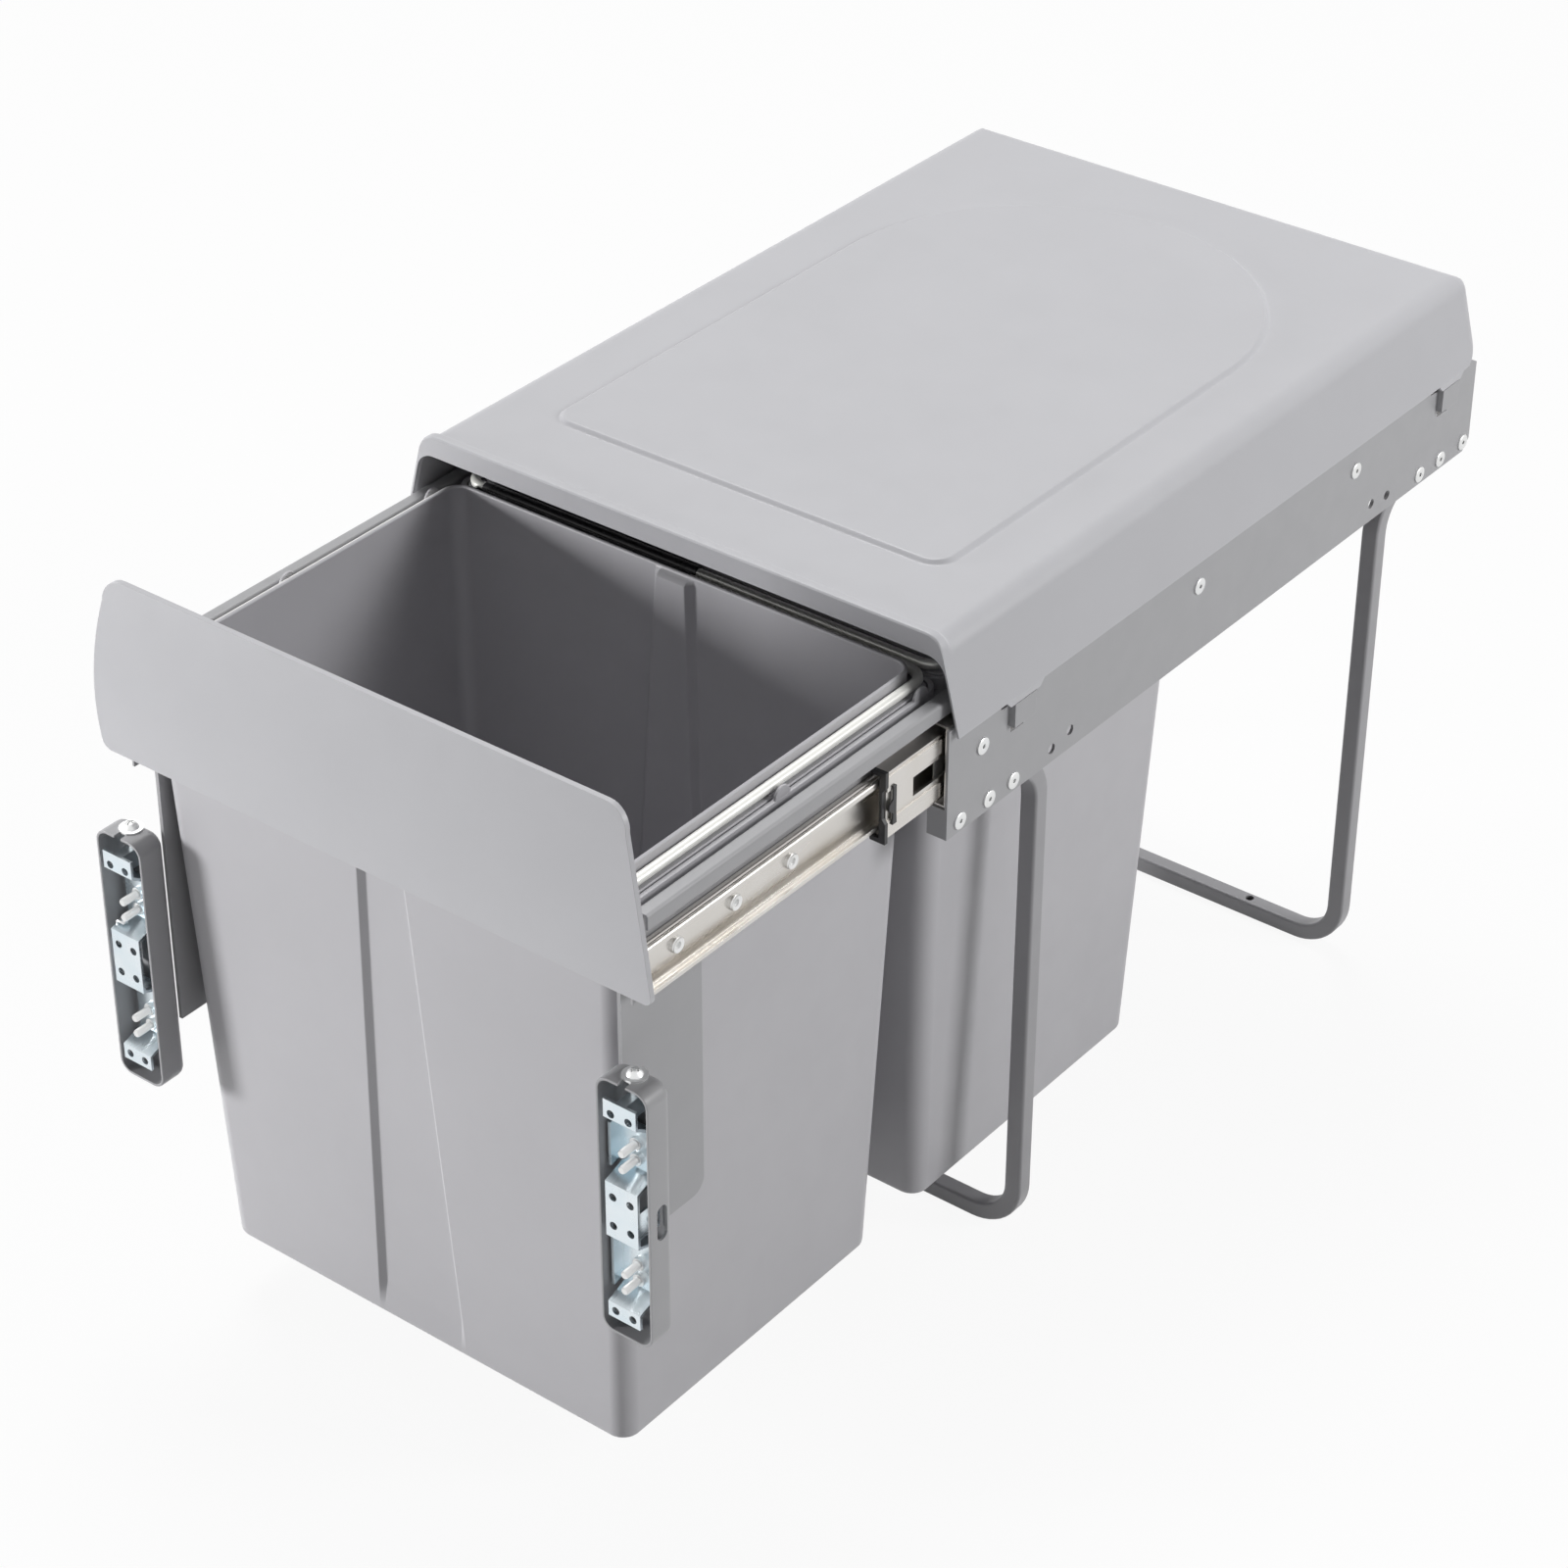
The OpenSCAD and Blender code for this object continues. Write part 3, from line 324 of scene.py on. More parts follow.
class Finish:
    """Node-based material with grain, patches and worn edges."""

    def __init__(self, name, colour, roughness, metallic=0.0):
        self.material = bpy.data.materials.new(name)
        self.material.use_nodes = True
        self.tree = self.material.node_tree
        self.shader = self.tree.nodes["Principled BSDF"]
        self.shader.inputs["Metallic"].default_value = metallic
        self.place = self.add("ShaderNodeTexCoord").outputs["Object"]
        self.colour = self.patches(colour)
        self.roughness = roughness

    def add(self, kind, **values):
        """New node with values set on its inputs."""
        made = self.tree.nodes.new(kind)
        for name, value in values.items():
            made.inputs[name.replace("_", " ")].default_value = value
        return made

    def link(self, output, target):
        """Joins an output to an input."""
        self.tree.links.new(output, target)

    def noise(self, size, detail=3.0, stretch=None):
        """Noise whose blobs measure about size, drawn out along an axis by stretch."""
        made = self.add("ShaderNodeTexNoise", Scale=1 / size, Detail=detail)
        place = self.place
        if stretch:
            mapping = self.add("ShaderNodeMapping", Scale=stretch)
            self.link(place, mapping.inputs["Vector"])
            place = mapping.outputs["Vector"]
        self.link(place, made.inputs["Vector"])
        return made.outputs["Fac"]

    def ranged(self, value, low, high, start=0.3, end=0.7):
        """Value mapped from start and end to low and high."""
        made = self.add("ShaderNodeMapRange", From_Min=start, From_Max=end, To_Min=low, To_Max=high)
        self.link(value, made.inputs["Value"])
        return made.outputs["Result"]

    def mixed(self, factor, first, second):
        """Colour between two colours or outputs."""
        made = self.tree.nodes.new("ShaderNodeMix")
        made.data_type = "RGBA"
        self.link(factor, made.inputs["Factor"])
        for name, value in (("A", first), ("B", second)):
            socket = [s for s in made.inputs if s.name == name and s.type == "RGBA"][0]
            if isinstance(value, bpy.types.NodeSocket):
                self.link(value, socket)
            else:
                socket.default_value = (*value, 1)
        return [s for s in made.outputs if s.type == "RGBA"][0]

    def patches(self, colour, size=60 * MM, change=0.015):
        """Slow variation of the colour over the piece."""
        dark = [channel * (1 - change) for channel in colour]
        light = [channel * (1 + change) for channel in colour]
        return self.mixed(self.ranged(self.noise(size), 0, 1), dark, light)

    def worn(self, colour, width, amount):
        """Edges rubbed to another colour in uneven spots."""
        spot = 4 * MM
        edge = self.add("ShaderNodeBevel", Radius=width)
        face = self.add("ShaderNodeNewGeometry")
        match = self.add("ShaderNodeVectorMath")
        match.operation = "DOT_PRODUCT"
        self.link(edge.outputs["Normal"], match.inputs[0])
        self.link(face.outputs["Normal"], match.inputs[1])
        bare = self.ranged(match.outputs["Value"], low=amount, high=0, start=0.8, end=0.99)
        spots = self.ranged(self.noise(spot), low=0.2, high=1, start=0.4, end=0.6)
        both = self.add("ShaderNodeMath")
        both.operation = "MULTIPLY"
        self.link(bare, both.inputs[0])
        self.link(spots, both.inputs[1])
        self.colour = self.mixed(both.outputs["Value"], self.colour, colour)

    def grain(self, size, depth, stretch=None, change=0.06):
        """Fine relief, with a roughness that varies in larger clouds."""
        cloud_size = 14 * MM
        relief = self.noise(size, 2.0, stretch)
        bump = self.add("ShaderNodeBump", Distance=depth, Strength=0.5)
        self.link(relief, bump.inputs["Height"])
        self.link(bump.outputs["Normal"], self.shader.inputs["Normal"])
        cloud = self.noise(cloud_size, 4.0, stretch)
        rough = self.ranged(cloud, self.roughness - change, self.roughness + change)
        self.link(rough, self.shader.inputs["Roughness"])

    def done(self):
        """The finished material."""
        self.link(self.colour, self.shader.inputs["Base Color"])
        return self.material


def moulded_plastic(name, colour, roughness, worn_colour):
    """Satin moulded plastic with a very fine texture."""
    finish = Finish(name, colour, roughness)
    finish.worn(worn_colour, width=0.8 * MM, amount=0.35)
    finish.grain(size=0.5 * MM, depth=0.02 * MM)
    return finish.done()


def powder_coat(name, colour, roughness):
    """Powder-coated steel with an orange-peel skin, lighter on its edges."""
    finish = Finish(name, colour, roughness)
    lighter = [min(1.6 * channel, 1) for channel in colour]
    finish.worn(lighter, width=0.6 * MM, amount=0.5)
    finish.grain(size=1.2 * MM, depth=0.04 * MM)
    return finish.done()


def zinc_plate(name, colour, tint, roughness, metallic=1.0):
    """Zinc-plated steel with drawing marks along Y and a passivation tint."""
    finish = Finish(name, colour, roughness, metallic)
    cloud_size, bare, drawn_out = 22 * MM, (0.9, 0.9, 0.9), (1, 0.06, 1)
    cloud = finish.ranged(finish.noise(cloud_size, 4.0), low=0, high=0.75)
    finish.colour = finish.mixed(cloud, finish.colour, tint)
    finish.worn(bare, width=0.4 * MM, amount=0.4)
    finish.grain(size=0.6 * MM, depth=0.008 * MM, stretch=drawn_out, change=0.08)
    return finish.done()


FINISH = {
    "cover_plastic": moulded_plastic("cover_plastic", (0.49, 0.49, 0.512), 0.42, (0.60, 0.60, 0.62)),
    "bin_plastic": moulded_plastic("bin_plastic", (0.475, 0.47, 0.492), 0.40, (0.57, 0.57, 0.59)),
    "grey_paint": powder_coat("grey_paint", (0.36, 0.36, 0.372), 0.42),
    "dark_paint": powder_coat("dark_paint", (0.32, 0.317, 0.331), 0.40),
    "white_zinc": zinc_plate("white_zinc", (0.80, 0.80, 0.79), (0.73, 0.74, 0.75), 0.34),
    "yellow_zinc": zinc_plate("yellow_zinc", (0.66, 0.64, 0.615), (0.615, 0.59, 0.55), 0.28),
    "blue_zinc": zinc_plate("blue_zinc", (0.80, 0.85, 0.88), (0.62, 0.74, 0.80), 0.27),
    "bright_wire": zinc_plate("bright_wire", (0.88, 0.88, 0.84), (0.85, 0.85, 0.81), 0.34, metallic=0.2),
    "black_plastic": moulded_plastic("black_plastic", (0.016, 0.016, 0.018), 0.38, (0.05, 0.05, 0.05)),
}


# Cover


def cover_piece():
    """Thin moulded hood: leaning skirts, a rounded rear end and a raised front lip."""
    low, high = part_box("cover")
    wall, corner, rear_corner, lean = 2 * MM, 12 * MM, 9 * MM, radians(14.5)
    lip_rise, lip_drop, lip_front, lip_ramp, lip_depth = 2.5 * MM, 8.7 * MM, 1.2 * MM, 4.5 * MM, 8.5 * MM
    lip_soft, lip_spread, past_lip = 0.35, 1.4, 1 * MM
    skirt_h = 47 * MM
    top = high.z - lip_rise
    skirt = top - skirt_h
    arc_z = top - corner
    arc_x = high.x - (arc_z - skirt) * tan(lean) - corner / cos(lean)

    def ring(y, grow=0.0, foot_grow=0.0, sink=0.0, inset=0.0, cap=high.z):
        """Section at y from foot to foot; sink lowers its round corners and cap cuts its top."""
        foot = arc_x + (arc_z - skirt) * tan(lean) + (corner + foot_grow) / cos(lean)
        centre = Vector((arc_x + sink * tan(lean), arc_z - sink))
        side = [(foot, skirt)]
        for share in spread(0, 1, 14):
            angle = lean + (pi / 2 - lean) * share
            radius = corner + foot_grow + (grow - foot_grow) * ease(lip_spread * share)
            side.append(centre + Vector((cos(angle), sin(angle))) * radius)
        side = [(x - inset, min(z, cap)) for x, z in side]
        return [(x, y, z) for x, z in side] + [(-x, y, z) for x, z in reversed(side)]

    def lip_share(depth):
        """Part of the lip's rise at a depth behind its front."""
        if depth < lip_front:
            return 1 - lip_soft * (1 - depth / lip_front) ** 2
        return 1 - ease((depth - lip_ramp) / (lip_depth - lip_ramp))

    def rear_rings(thick):
        """Sections that close the rear end, for the outer skin or the skin under it."""
        rings = []
        for angle in spread(0, pi / 2, 12):
            back = (corner - thick) * sin(angle)
            turn = min(max(back - corner + rear_corner, 0) / (rear_corner - thick), 1)
            inset = (rear_corner - thick) * (1 - sqrt(1 - turn * turn))
            cap = arc_z + (corner - thick) * cos(angle)
            rings.append(ring(high.y - corner + back, -thick, -thick, 0, inset, cap))
        return rings

    lip = spread(0, lip_front, 3) + spread(lip_ramp, lip_depth, 6) + [lip_depth + past_lip]
    outside = [ring(low.y + depth, lip_rise * lip_share(depth)) for depth in lip] + rear_rings(0)
    flange = [ring(low.y + 2 * edge - wall, -edge, -edge, lip_drop - edge) for edge in (wall / 2, wall)]
    inside = [ring(low.y + wall, -wall, -wall)] + rear_rings(wall)
    shell = Shell()
    rows = shell.skin(outside[::-1] + flange + inside, False)
    for end in (0, -1):
        shell.faces.append(tuple(row[end] for row in rows))
    shell.faces.append(tuple(rows[0]))
    shell.faces.append(tuple(rows[-1]))
    shell.faces.append((rows[0][0], rows[-1][0], rows[-1][-1], rows[0][-1]))
    piece = build("cover_shell", shell)
    cut(piece, heel_cut(high, skirt))

    details = Shell()
    raised_field(details, low.y, high.y, top)
    cover_tabs(details, low, high, skirt)
    join(piece, build("cover_details", details))
    dress(piece, "cover")


def heel_cut(high, skirt):
    """Volume taken off the rear lower corners of the skirts."""
    heel_y, heel_z, bend, room = 11 * MM, 17 * MM, 9 * MM, 6 * MM
    slope = heel_z / heel_y
    corners = [(-2 * heel_y, 0), (-heel_y, 0), (room, heel_z + slope * room)]
    edge = rounded_path([(high.y + u, skirt + v) for u, v in corners], bend)[1:]
    outline = edge + [Vector((high.y + room, skirt - room)), Vector((edge[0].x, skirt - room))]
    shell = Shell()
    shell.along_x(outline, -high.x - room, high.x + room)
    return shell


def raised_field(shell, front, rear, top):
    """Low raised field, round at its rear end, on the cover's top."""
    half, corner, rise, edge = 120 * MM, 12 * MM, 2 * MM, 3.2 * MM
    margin, root, inner, sunk = 54 * MM, 1 * MM, 1 * MM, 0.01 * MM
    field_front = front + margin
    arc_y = rear - margin - half

    def ring(grow, z):
        """Outline of the field, moved out by grow, at height z."""
        points = arc((half - corner, field_front + corner), corner + grow, -90, 0, 8)
        points += arc((0, arc_y), half + grow, 0, 180, 72)
        points += arc((corner - half, field_front + corner), corner + grow, 180, 270, 8)
        return [(x, y, z) for x, y in points]

    rings = [ring(edge / 2, top - root)]
    for share in spread(0, 1, 8):
        rings.append(ring(edge * (0.5 - share), top + rise * ease(share) - sunk))
    rings.append(ring(-edge / 2 - inner, top + rise))
    shell.loft(rings)


def cover_tabs(shell, low, high, skirt):
    """Tabs on the skirt's edge, with the lugs that hook into the side plates."""
    drop, slope, thick, foot, bend = 4 * MM, 3.5 * MM, 2 * MM, 6 * MM, 1.5 * MM
    inset, foot_z, top_z = 0.25 * MM, skirt + 0.1 * MM, skirt + 0.6 * MM
    lug_half, lug_top, lug_round = 6.5 * MM, skirt + 2 * MM, 0.4 * MM
    plate_low, plate_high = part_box("side_plate_right")
    lug_x = (high.x - 3 * MM, high.x - 1.5 * MM)
    front_tab = (plate_low.y + 57 * MM, 12 * MM)
    rear_tab = (plate_high.y - 32.5 * MM, 9.5 * MM)
    for side in SIDES.values():
        for y, half in (front_tab, rear_tab):
            reach = half + slope + foot
            corners = [(-reach, 0), (-half - slope, 0), (-half, -drop)]
            corners += [(-u, v) for u, v in reversed(corners)]
            outline = rounded_path([(y + u, foot_z + v) for u, v in corners], bend, 3)
            outline += [Vector((y + u, top_z)) for u in (reach, -reach)]
            shell.along_x(outline, side * (high.x - thick), side * (high.x - inset))
            ends = sorted(side * x for x in lug_x)
            shell.block((ends[0], y - lug_half, low.z), (ends[1], y + lug_half, lug_top), lug_round)


# Bins


class Bin:
    """Tapered bin with a stiffening groove, a shoulder for the wire ring and a thin rim."""

    taper, wall, corner, floor = 12 * MM, 2.2 * MM, 10 * MM, 2.5 * MM
    shoulder_side, shoulder_end, shoulder_t = 9.9 * MM, 7.2 * MM, 2 * MM
    shoulder_h, rim_h = 6.5 * MM, 9.5 * MM
    gutter_edge, gutter_w, gutter_d = 2.7 * MM, 0.9 * MM, 5 * MM
    hollow_edge, soft = 5.6 * MM, 0.5 * MM
    groove_top, groove_low, groove_d, groove_slope = 8.5 * MM, 25.5 * MM, 4 * MM, 3.2 * MM
    groove_bend, least_groove, plain_half = 1.2 * MM, 0.02 * MM, 12 * MM
    outer_share, fade = 0.68, 18 * MM
    bottom_round, rim_round, least_corner = 3 * MM, 1 * MM, 3 * MM
    rib_start, rib_slant, rib_full = 0.5 * MM, 3 * MM, 9 * MM

    def __init__(self, node):
        self.low, self.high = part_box(node)
        self.middle_y = (self.low.y + self.high.y) / 2
        self.shoulder_half = (self.high.x, self.high.y - self.middle_y)
        self.body_half = (self.high.x - self.shoulder_side, self.shoulder_half[1] - self.shoulder_end)
        self.rim = self.high.z
        self.shoulder = self.rim - self.rim_h
        self.depth = self.rim - self.low.z

    def ring(self, half_x, half_y, radius, z, groove=0, half_groove=plain_half):
        """Rounded rectangle whose front and back walls step in by groove."""
        groove = max(groove, self.least_groove)
        slope = half_groove + self.groove_slope
        front = rounded_path(
            [(radius - half_x, -half_y), (-slope, -half_y), (-half_groove, groove - half_y),
             (half_groove, groove - half_y), (slope, -half_y), (half_x - radius, -half_y)],
            self.groove_bend, 3,
        )
        right = arc((half_x - radius, radius - half_y), radius, -90, 0, 8)
        right += arc((half_x - radius, half_y - radius), radius, 0, 90, 8)
        half_ring = front + right[1:-1]
        points = half_ring + [-point for point in half_ring]
        return [(x, self.middle_y + y, z) for x, y in points]

    def body(self, z, inset=0.0, share=1.0):
        """Ring on the tapered wall, moved in by inset; share is the part of the groove's depth."""
        fall = (self.rim - z) / self.depth
        half_x, half_y = (half - self.taper * fall - inset for half in self.body_half)
        half_groove = self.groove_top + (self.groove_low - self.groove_top) * fall
        radius = max(self.corner - inset, self.least_corner)
        groove = self.groove_d * share * ease((z - self.low.z - self.bottom_round) / self.fade)
        return self.ring(half_x, half_y, radius, z, groove, half_groove)

    def flange(self, z, inset=0.0):
        """Ring on the shoulder."""
        half_x, half_y = (half - inset for half in self.shoulder_half)
        return self.ring(half_x, half_y, self.corner - inset, z)

    def outer_wall(self):
        """Rings from the underside up to the hollow under the shoulder."""
        rings = [self.body(self.low.z + drop, inset) for inset, drop in rolled_edge(self.bottom_round)]
        low, under = self.low.z + self.bottom_round, self.shoulder - self.shoulder_t
        rings += [self.body(z, 0, self.outer_share) for z in spread(low, low + self.fade, 6)[1:]]
        rings += [self.body(z, 0, self.outer_share) for z in spread(low + self.fade, under, 6)[1:]]
        return rings + [self.flange(under, self.hollow_edge)]

    def shoulder_rings(self):
        """Rings round the shoulder's edge and through the gutter in its top."""
        soft = self.soft
        inner = self.gutter_edge + self.gutter_w
        rings = [self.flange(self.shoulder - self.shoulder_h, inset) for inset in (self.hollow_edge, 0)]
        rings += [self.flange(self.shoulder - drop, inset) for inset, drop in reversed(rolled_edge(soft, 3))]
        rings += [self.flange(self.shoulder - drop, self.gutter_edge) for drop in (soft, self.gutter_d)]
        rings += [self.flange(self.shoulder - drop, inner) for drop in (self.gutter_d, soft)]
        return rings + [self.flange(self.shoulder, inner + soft)]

    def rings(self):
        """Rings from the underside up to the rim and down to the floor."""
        rings = self.outer_wall() + self.shoulder_rings() + [self.body(self.shoulder, 0, 0)]
        lip = rolled_edge(self.rim_round, 3)
        lip_low = lip[-1][1]
        rings += [self.body(self.rim - drop, inset, 0) for inset, drop in reversed(lip)]
        rings += [self.body(self.rim - drop, self.wall - inset, 0) for inset, drop in lip]
        for drop in spread(lip_low + self.rib_start, lip_low + self.rib_slant, 3):
            rings.append(self.body(self.rim - drop, self.wall, ease((drop - lip_low) / self.rib_slant)))
        floor = self.low.z + self.floor
        low = floor + self.bottom_round
        rings += [self.body(z, self.wall) for z in spread(self.rim - self.rib_full, low + self.fade, 6)]
        rings += [self.body(z, self.wall) for z in spread(low + self.fade, low, 6)[1:]]
        foot = reversed(rolled_edge(self.bottom_round))
        return rings + [self.body(floor + drop, self.wall + inset) for inset, drop in foot]

    def ears(self, shell):
        """Round ears that keep the wire ring in, and the pads that it lies on."""
        ear_r, ear_t, ear_inset = 5.5 * MM, 1.5 * MM, 0.1 * MM
        middle_shift, rear_shift = 4 * MM, 9 * MM
        wire_x, wire_half = self.body_half[0] + 3.1 * MM, 2.2 * MM
        pad_half, pad_root, pad_rise, pad_round = 4 * MM, 1 * MM, 0.6 * MM, 0.3 * MM
        outer = self.high.x - ear_inset
        length = 2 * self.body_half[1]
        front = self.middle_y - self.body_half[1]
        rounding = [(drop, ear_r - inset) for inset, drop in rolled_edge(self.soft, 2)]
        profile = rounding + [(ear_t - along, r) for along, r in reversed(rounding)]
        for y in (front + length / 2 - middle_shift, front + length - rear_shift):
            for side in SIDES.values():
                start = outer - ear_t if side > 0 else -outer
                shell.lathe(profile, facing_x((start, y, self.shoulder)))
                pad = sorted(side * (wire_x + x) for x in (-wire_half, wire_half))
                low = (pad[0], y - pad_half, self.shoulder - pad_root)
                shell.block(low, (pad[1], y + pad_half, self.shoulder + pad_rise), pad_round)


def bin_piece(node):
    """One bin with its ears."""
    shell = Shell()
    made = Bin(node)
    shell.loft(made.rings())
    made.ears(shell)
    dress(build(node + "_shell", shell), node)


def grip_piece(node):
    """Black sleeve with rounded ends and shallow rings near them."""
    low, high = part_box(node)
    radius = (high.z - low.z) / 2
    length = high.x - low.x
    end_round, dip, dip_half = 1.2 * MM, 0.3 * MM, 0.5 * MM
    end = [(drop, radius - inset) for inset, drop in rolled_edge(end_round)]
    for along in (6 * MM, 9 * MM, 12 * MM):
        end += [(along, radius), (along + dip_half, radius - dip), (along + 2 * dip_half, radius)]
    profile = end + [(length - along, r) for along, r in reversed(end)]
    shell = Shell()
    shell.lathe(profile, facing_x((low.x, (low.y + high.y) / 2, (low.z + high.z) / 2)))
    dress(build(node + "_sleeve", shell), node)


# Front panel


def panel_piece():
    """Thin bulged panel that narrows to its top, with pads where its clips hold it."""
    low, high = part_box("front_panel")
    thick, bulge, low_round, top_round, top_half = 3 * MM, 4 * MM, 5 * MM, 12 * MM, 156 * MM
    pad_margin, pad_round, edge = 2 * MM, 0.6 * MM, 1 * MM
    height = high.z - low.z
    middle = (low.z + high.z) / 2
    radius = (height * height / 4 + bulge * bulge) / (2 * bulge)

    def front(z):
        """Place of the bulged face at a height."""
        return low.y + radius - sqrt(radius * radius - (z - middle) ** 2)

    def half_width(z):
        """Half the panel's width at a height."""
        rise = (z - low.z - low_round) / (height - low_round - top_round)
        return high.x - (high.x - top_half) * min(max(rise, 0), 1) ** 2

    rows = [(low.z + drop, half_width(low.z) - inset) for inset, drop in rolled_edge(low_round, 6)]
    straight = spread(low.z + low_round, high.z - top_round, 24)[1:-1]
    rows += [(z, half_width(z)) for z in straight]
    rows += [(high.z - drop, top_half - inset) for inset, drop in reversed(rolled_edge(top_round, 8))]

    shell = Shell()
    columns = spread(-1, 1, 12)
    faces = []
    for depth in (0, thick):
        sheet = [[(half * u, front(z) + depth, z) for u in columns] for z, half in rows]
        faces.append(shell.skin(sheet, False))
    ahead, behind = faces
    for end in (0, -1):
        for i in range(len(rows) - 1):
            shell.faces.append((ahead[i][end], ahead[i + 1][end], behind[i + 1][end], behind[i][end]))
        for i in range(len(columns) - 1):
            shell.faces.append((ahead[end][i], ahead[end][i + 1], behind[end][i + 1], behind[end][i]))
    clip_low, clip_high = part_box("panel_clip_right")
    for side in SIDES.values():
        ends = sorted(side * x for x in (clip_low.x, clip_high.x + SHEET))
        pad_low = (ends[0], low.y + thick, clip_low.z - pad_margin)
        shell.block(pad_low, (ends[1], high.y, clip_high.z + pad_margin), pad_round)
    dress(build("front_panel_shell", shell), "front_panel", bevel=edge)


# Legs and rails


def leg_piece(node, to_front):
    """Bent square tube with its floor screw holes."""
    low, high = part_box(node)
    side, wall, bend = 10 * MM, 1.2 * MM, 25 * MM
    outer_round, inner_round = 1.6 * MM, 0.6 * MM
    hole_x, hole_r, past = 103 * MM, 2.5 * MM, 1 * MM
    half = side / 2
    x, run_z = high.x - half, high.z - half
    y = high.y - half if to_front else low.y + half
    run_y = low.y if to_front else high.y
    corners = [(x, run_y, run_z), (x, y, run_z), (x, y, half)]
    corners += [(-u, v, w) for u, v, w in reversed(corners)]
    shell = Shell()
    outer = rounded_rect(half, half, outer_round, 4)
    inner = rounded_rect(half - wall, half - wall, inner_round, 4)
    shell.tube(rounded_path(corners, bend, 12), Vector((1, 0, 0)), outer, inner)
    piece = build(node + "_tube", shell)
    for hole in (-hole_x, hole_x):
        drill = Shell()
        drill.lathe([(-past, hole_r), (side + past, hole_r)], Matrix.Translation((hole, y, 0)), 24)
        cut(piece, drill)
    dress(piece, node)


def rail_piece(name, side):
    """Folded rail: a ledge for the bins with a raised outer channel, on an upright web."""
    low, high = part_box("rail_right")
    web_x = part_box("slide_inner_right")[0].x - SHEET / 2
    channel_d, channel_w, lip_h, bend = 6.5 * MM, 7.8 * MM, 8 * MM, 0.3 * MM
    half = SHEET / 2
    ledge = high.z - channel_d - half
    riser = high.x - channel_w + half
    top = high.z - half
    lip = high.z - lip_h
    shell = Shell()
    channel = [(low.x, ledge), (riser, ledge), (riser, top), (high.x - half, top), (high.x - half, lip)]
    shell.along_y(folded(channel, SHEET, bend), low.y, high.y)
    shell.along_y(folded([(web_x, low.z), (web_x, ledge)], SHEET, 0), low.y, high.y)
    node = "rail_" + name
    dress(build(node + "_fold", shell, side), node, bevel=FINE_EDGE)


def slide_inner_piece(name, side):
    """Inner slide member: a web between two rolled ball tracks."""
    low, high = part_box("slide_inner_right")
    thick, bend, edge = 1.2 * MM, 0.25 * MM, 0.2 * MM
    hook, bead_x, bead_half, bead_d = 2.6 * MM, 3.4 * MM, 1.2 * MM, 0.9 * MM
    web, tip = low.x + thick / 2, high.x - thick / 2
    middle = (low.z + high.z) / 2
    flange = high.z - middle - thick / 2
    bead = web + bead_x
    track = [(tip, flange - hook), (tip, flange), (bead + bead_half, flange)]
    track += [(bead, flange - bead_d), (bead - bead_half, flange), (web, flange)]
    path = [(x, middle + z) for x, z in track] + [(x, middle - z) for x, z in reversed(track)]
    shell = Shell()
    shell.along_y(folded(path, thick, bend), low.y, high.y)
    node = "slide_inner_" + name
    dress(build(node + "_roll", shell, side), node, bevel=edge)


def slide_cap_piece(name, side):
    """Black end cap of a middle member, with the bent catch on the member's outer face."""
    low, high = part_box("slide_cap_right")
    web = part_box("slide_middle_right")[1].x
    thick, rim, mouth, catch_t = 2.4 * MM, 2.7 * MM, 5.1 * MM, 1 * MM
    dent, dent_top, dent_low, dent_slope = 2 * MM, 8.5 * MM, 6 * MM, 2.5 * MM
    middle, half = (low.z + high.z) / 2, (high.z - low.z) / 2
    edge = [(high.x, half), (high.x, dent_top + dent_slope), (high.x - dent, dent_top),
            (high.x - dent, -dent_low), (high.x, -dent_low - dent_slope), (high.x, -half)]
    hollow = [(low.x, -half), (low.x, rim - half), (low.x + mouth, rim - half)]
    outline = edge + hollow + [(x, -z) for x, z in reversed(hollow)]
    shell = Shell()
    shell.along_y([(x, middle + z) for x, z in outline], low.y, low.y + thick)
    back = low.y + thick
    # The catch in millimetres behind the cap and above its middle: a strip with a point towards the cap
    catch = [(6, 10), (3.5, 10), (3.5, 3), (0.4, 0.5), (0.4, -2), (3.5, -5), (3, -11), (6.4, -11), (6, -5)]
    shell.along_x([(back + y * MM, middle + z * MM) for y, z in catch], web, web + catch_t)
    node = "slide_cap_" + name
    dress(build(node + "_moulding", shell, side), node, bevel=FINE_EDGE)


def headed_pieces(kind, name, side, head, shank, hole, depth):
    """Rivets or screws with a flat head and a round hole in it."""
    crown, soft = 0.3 * MM, 0.3 * MM
    shell = Shell()
    for low, high in solids(kind + "_right"):
        radius, length = (high.y - low.y) / 2, high.x - low.x
        seat, rim = length - head, length - crown
        profile = [(0, shank), (seat, shank), (seat, radius), (rim - soft, radius), (rim, radius - soft)]
        profile += [(length, 2 * hole), (length - soft, hole), (length - depth, hole)]
        middle = (low + high) / 2
        shell.lathe(profile, facing_x((low.x, middle.y, middle.z)), 24)
    node = kind + "_" + name
    dress(build(node + "_heads", shell, side), node)


# Door brackets


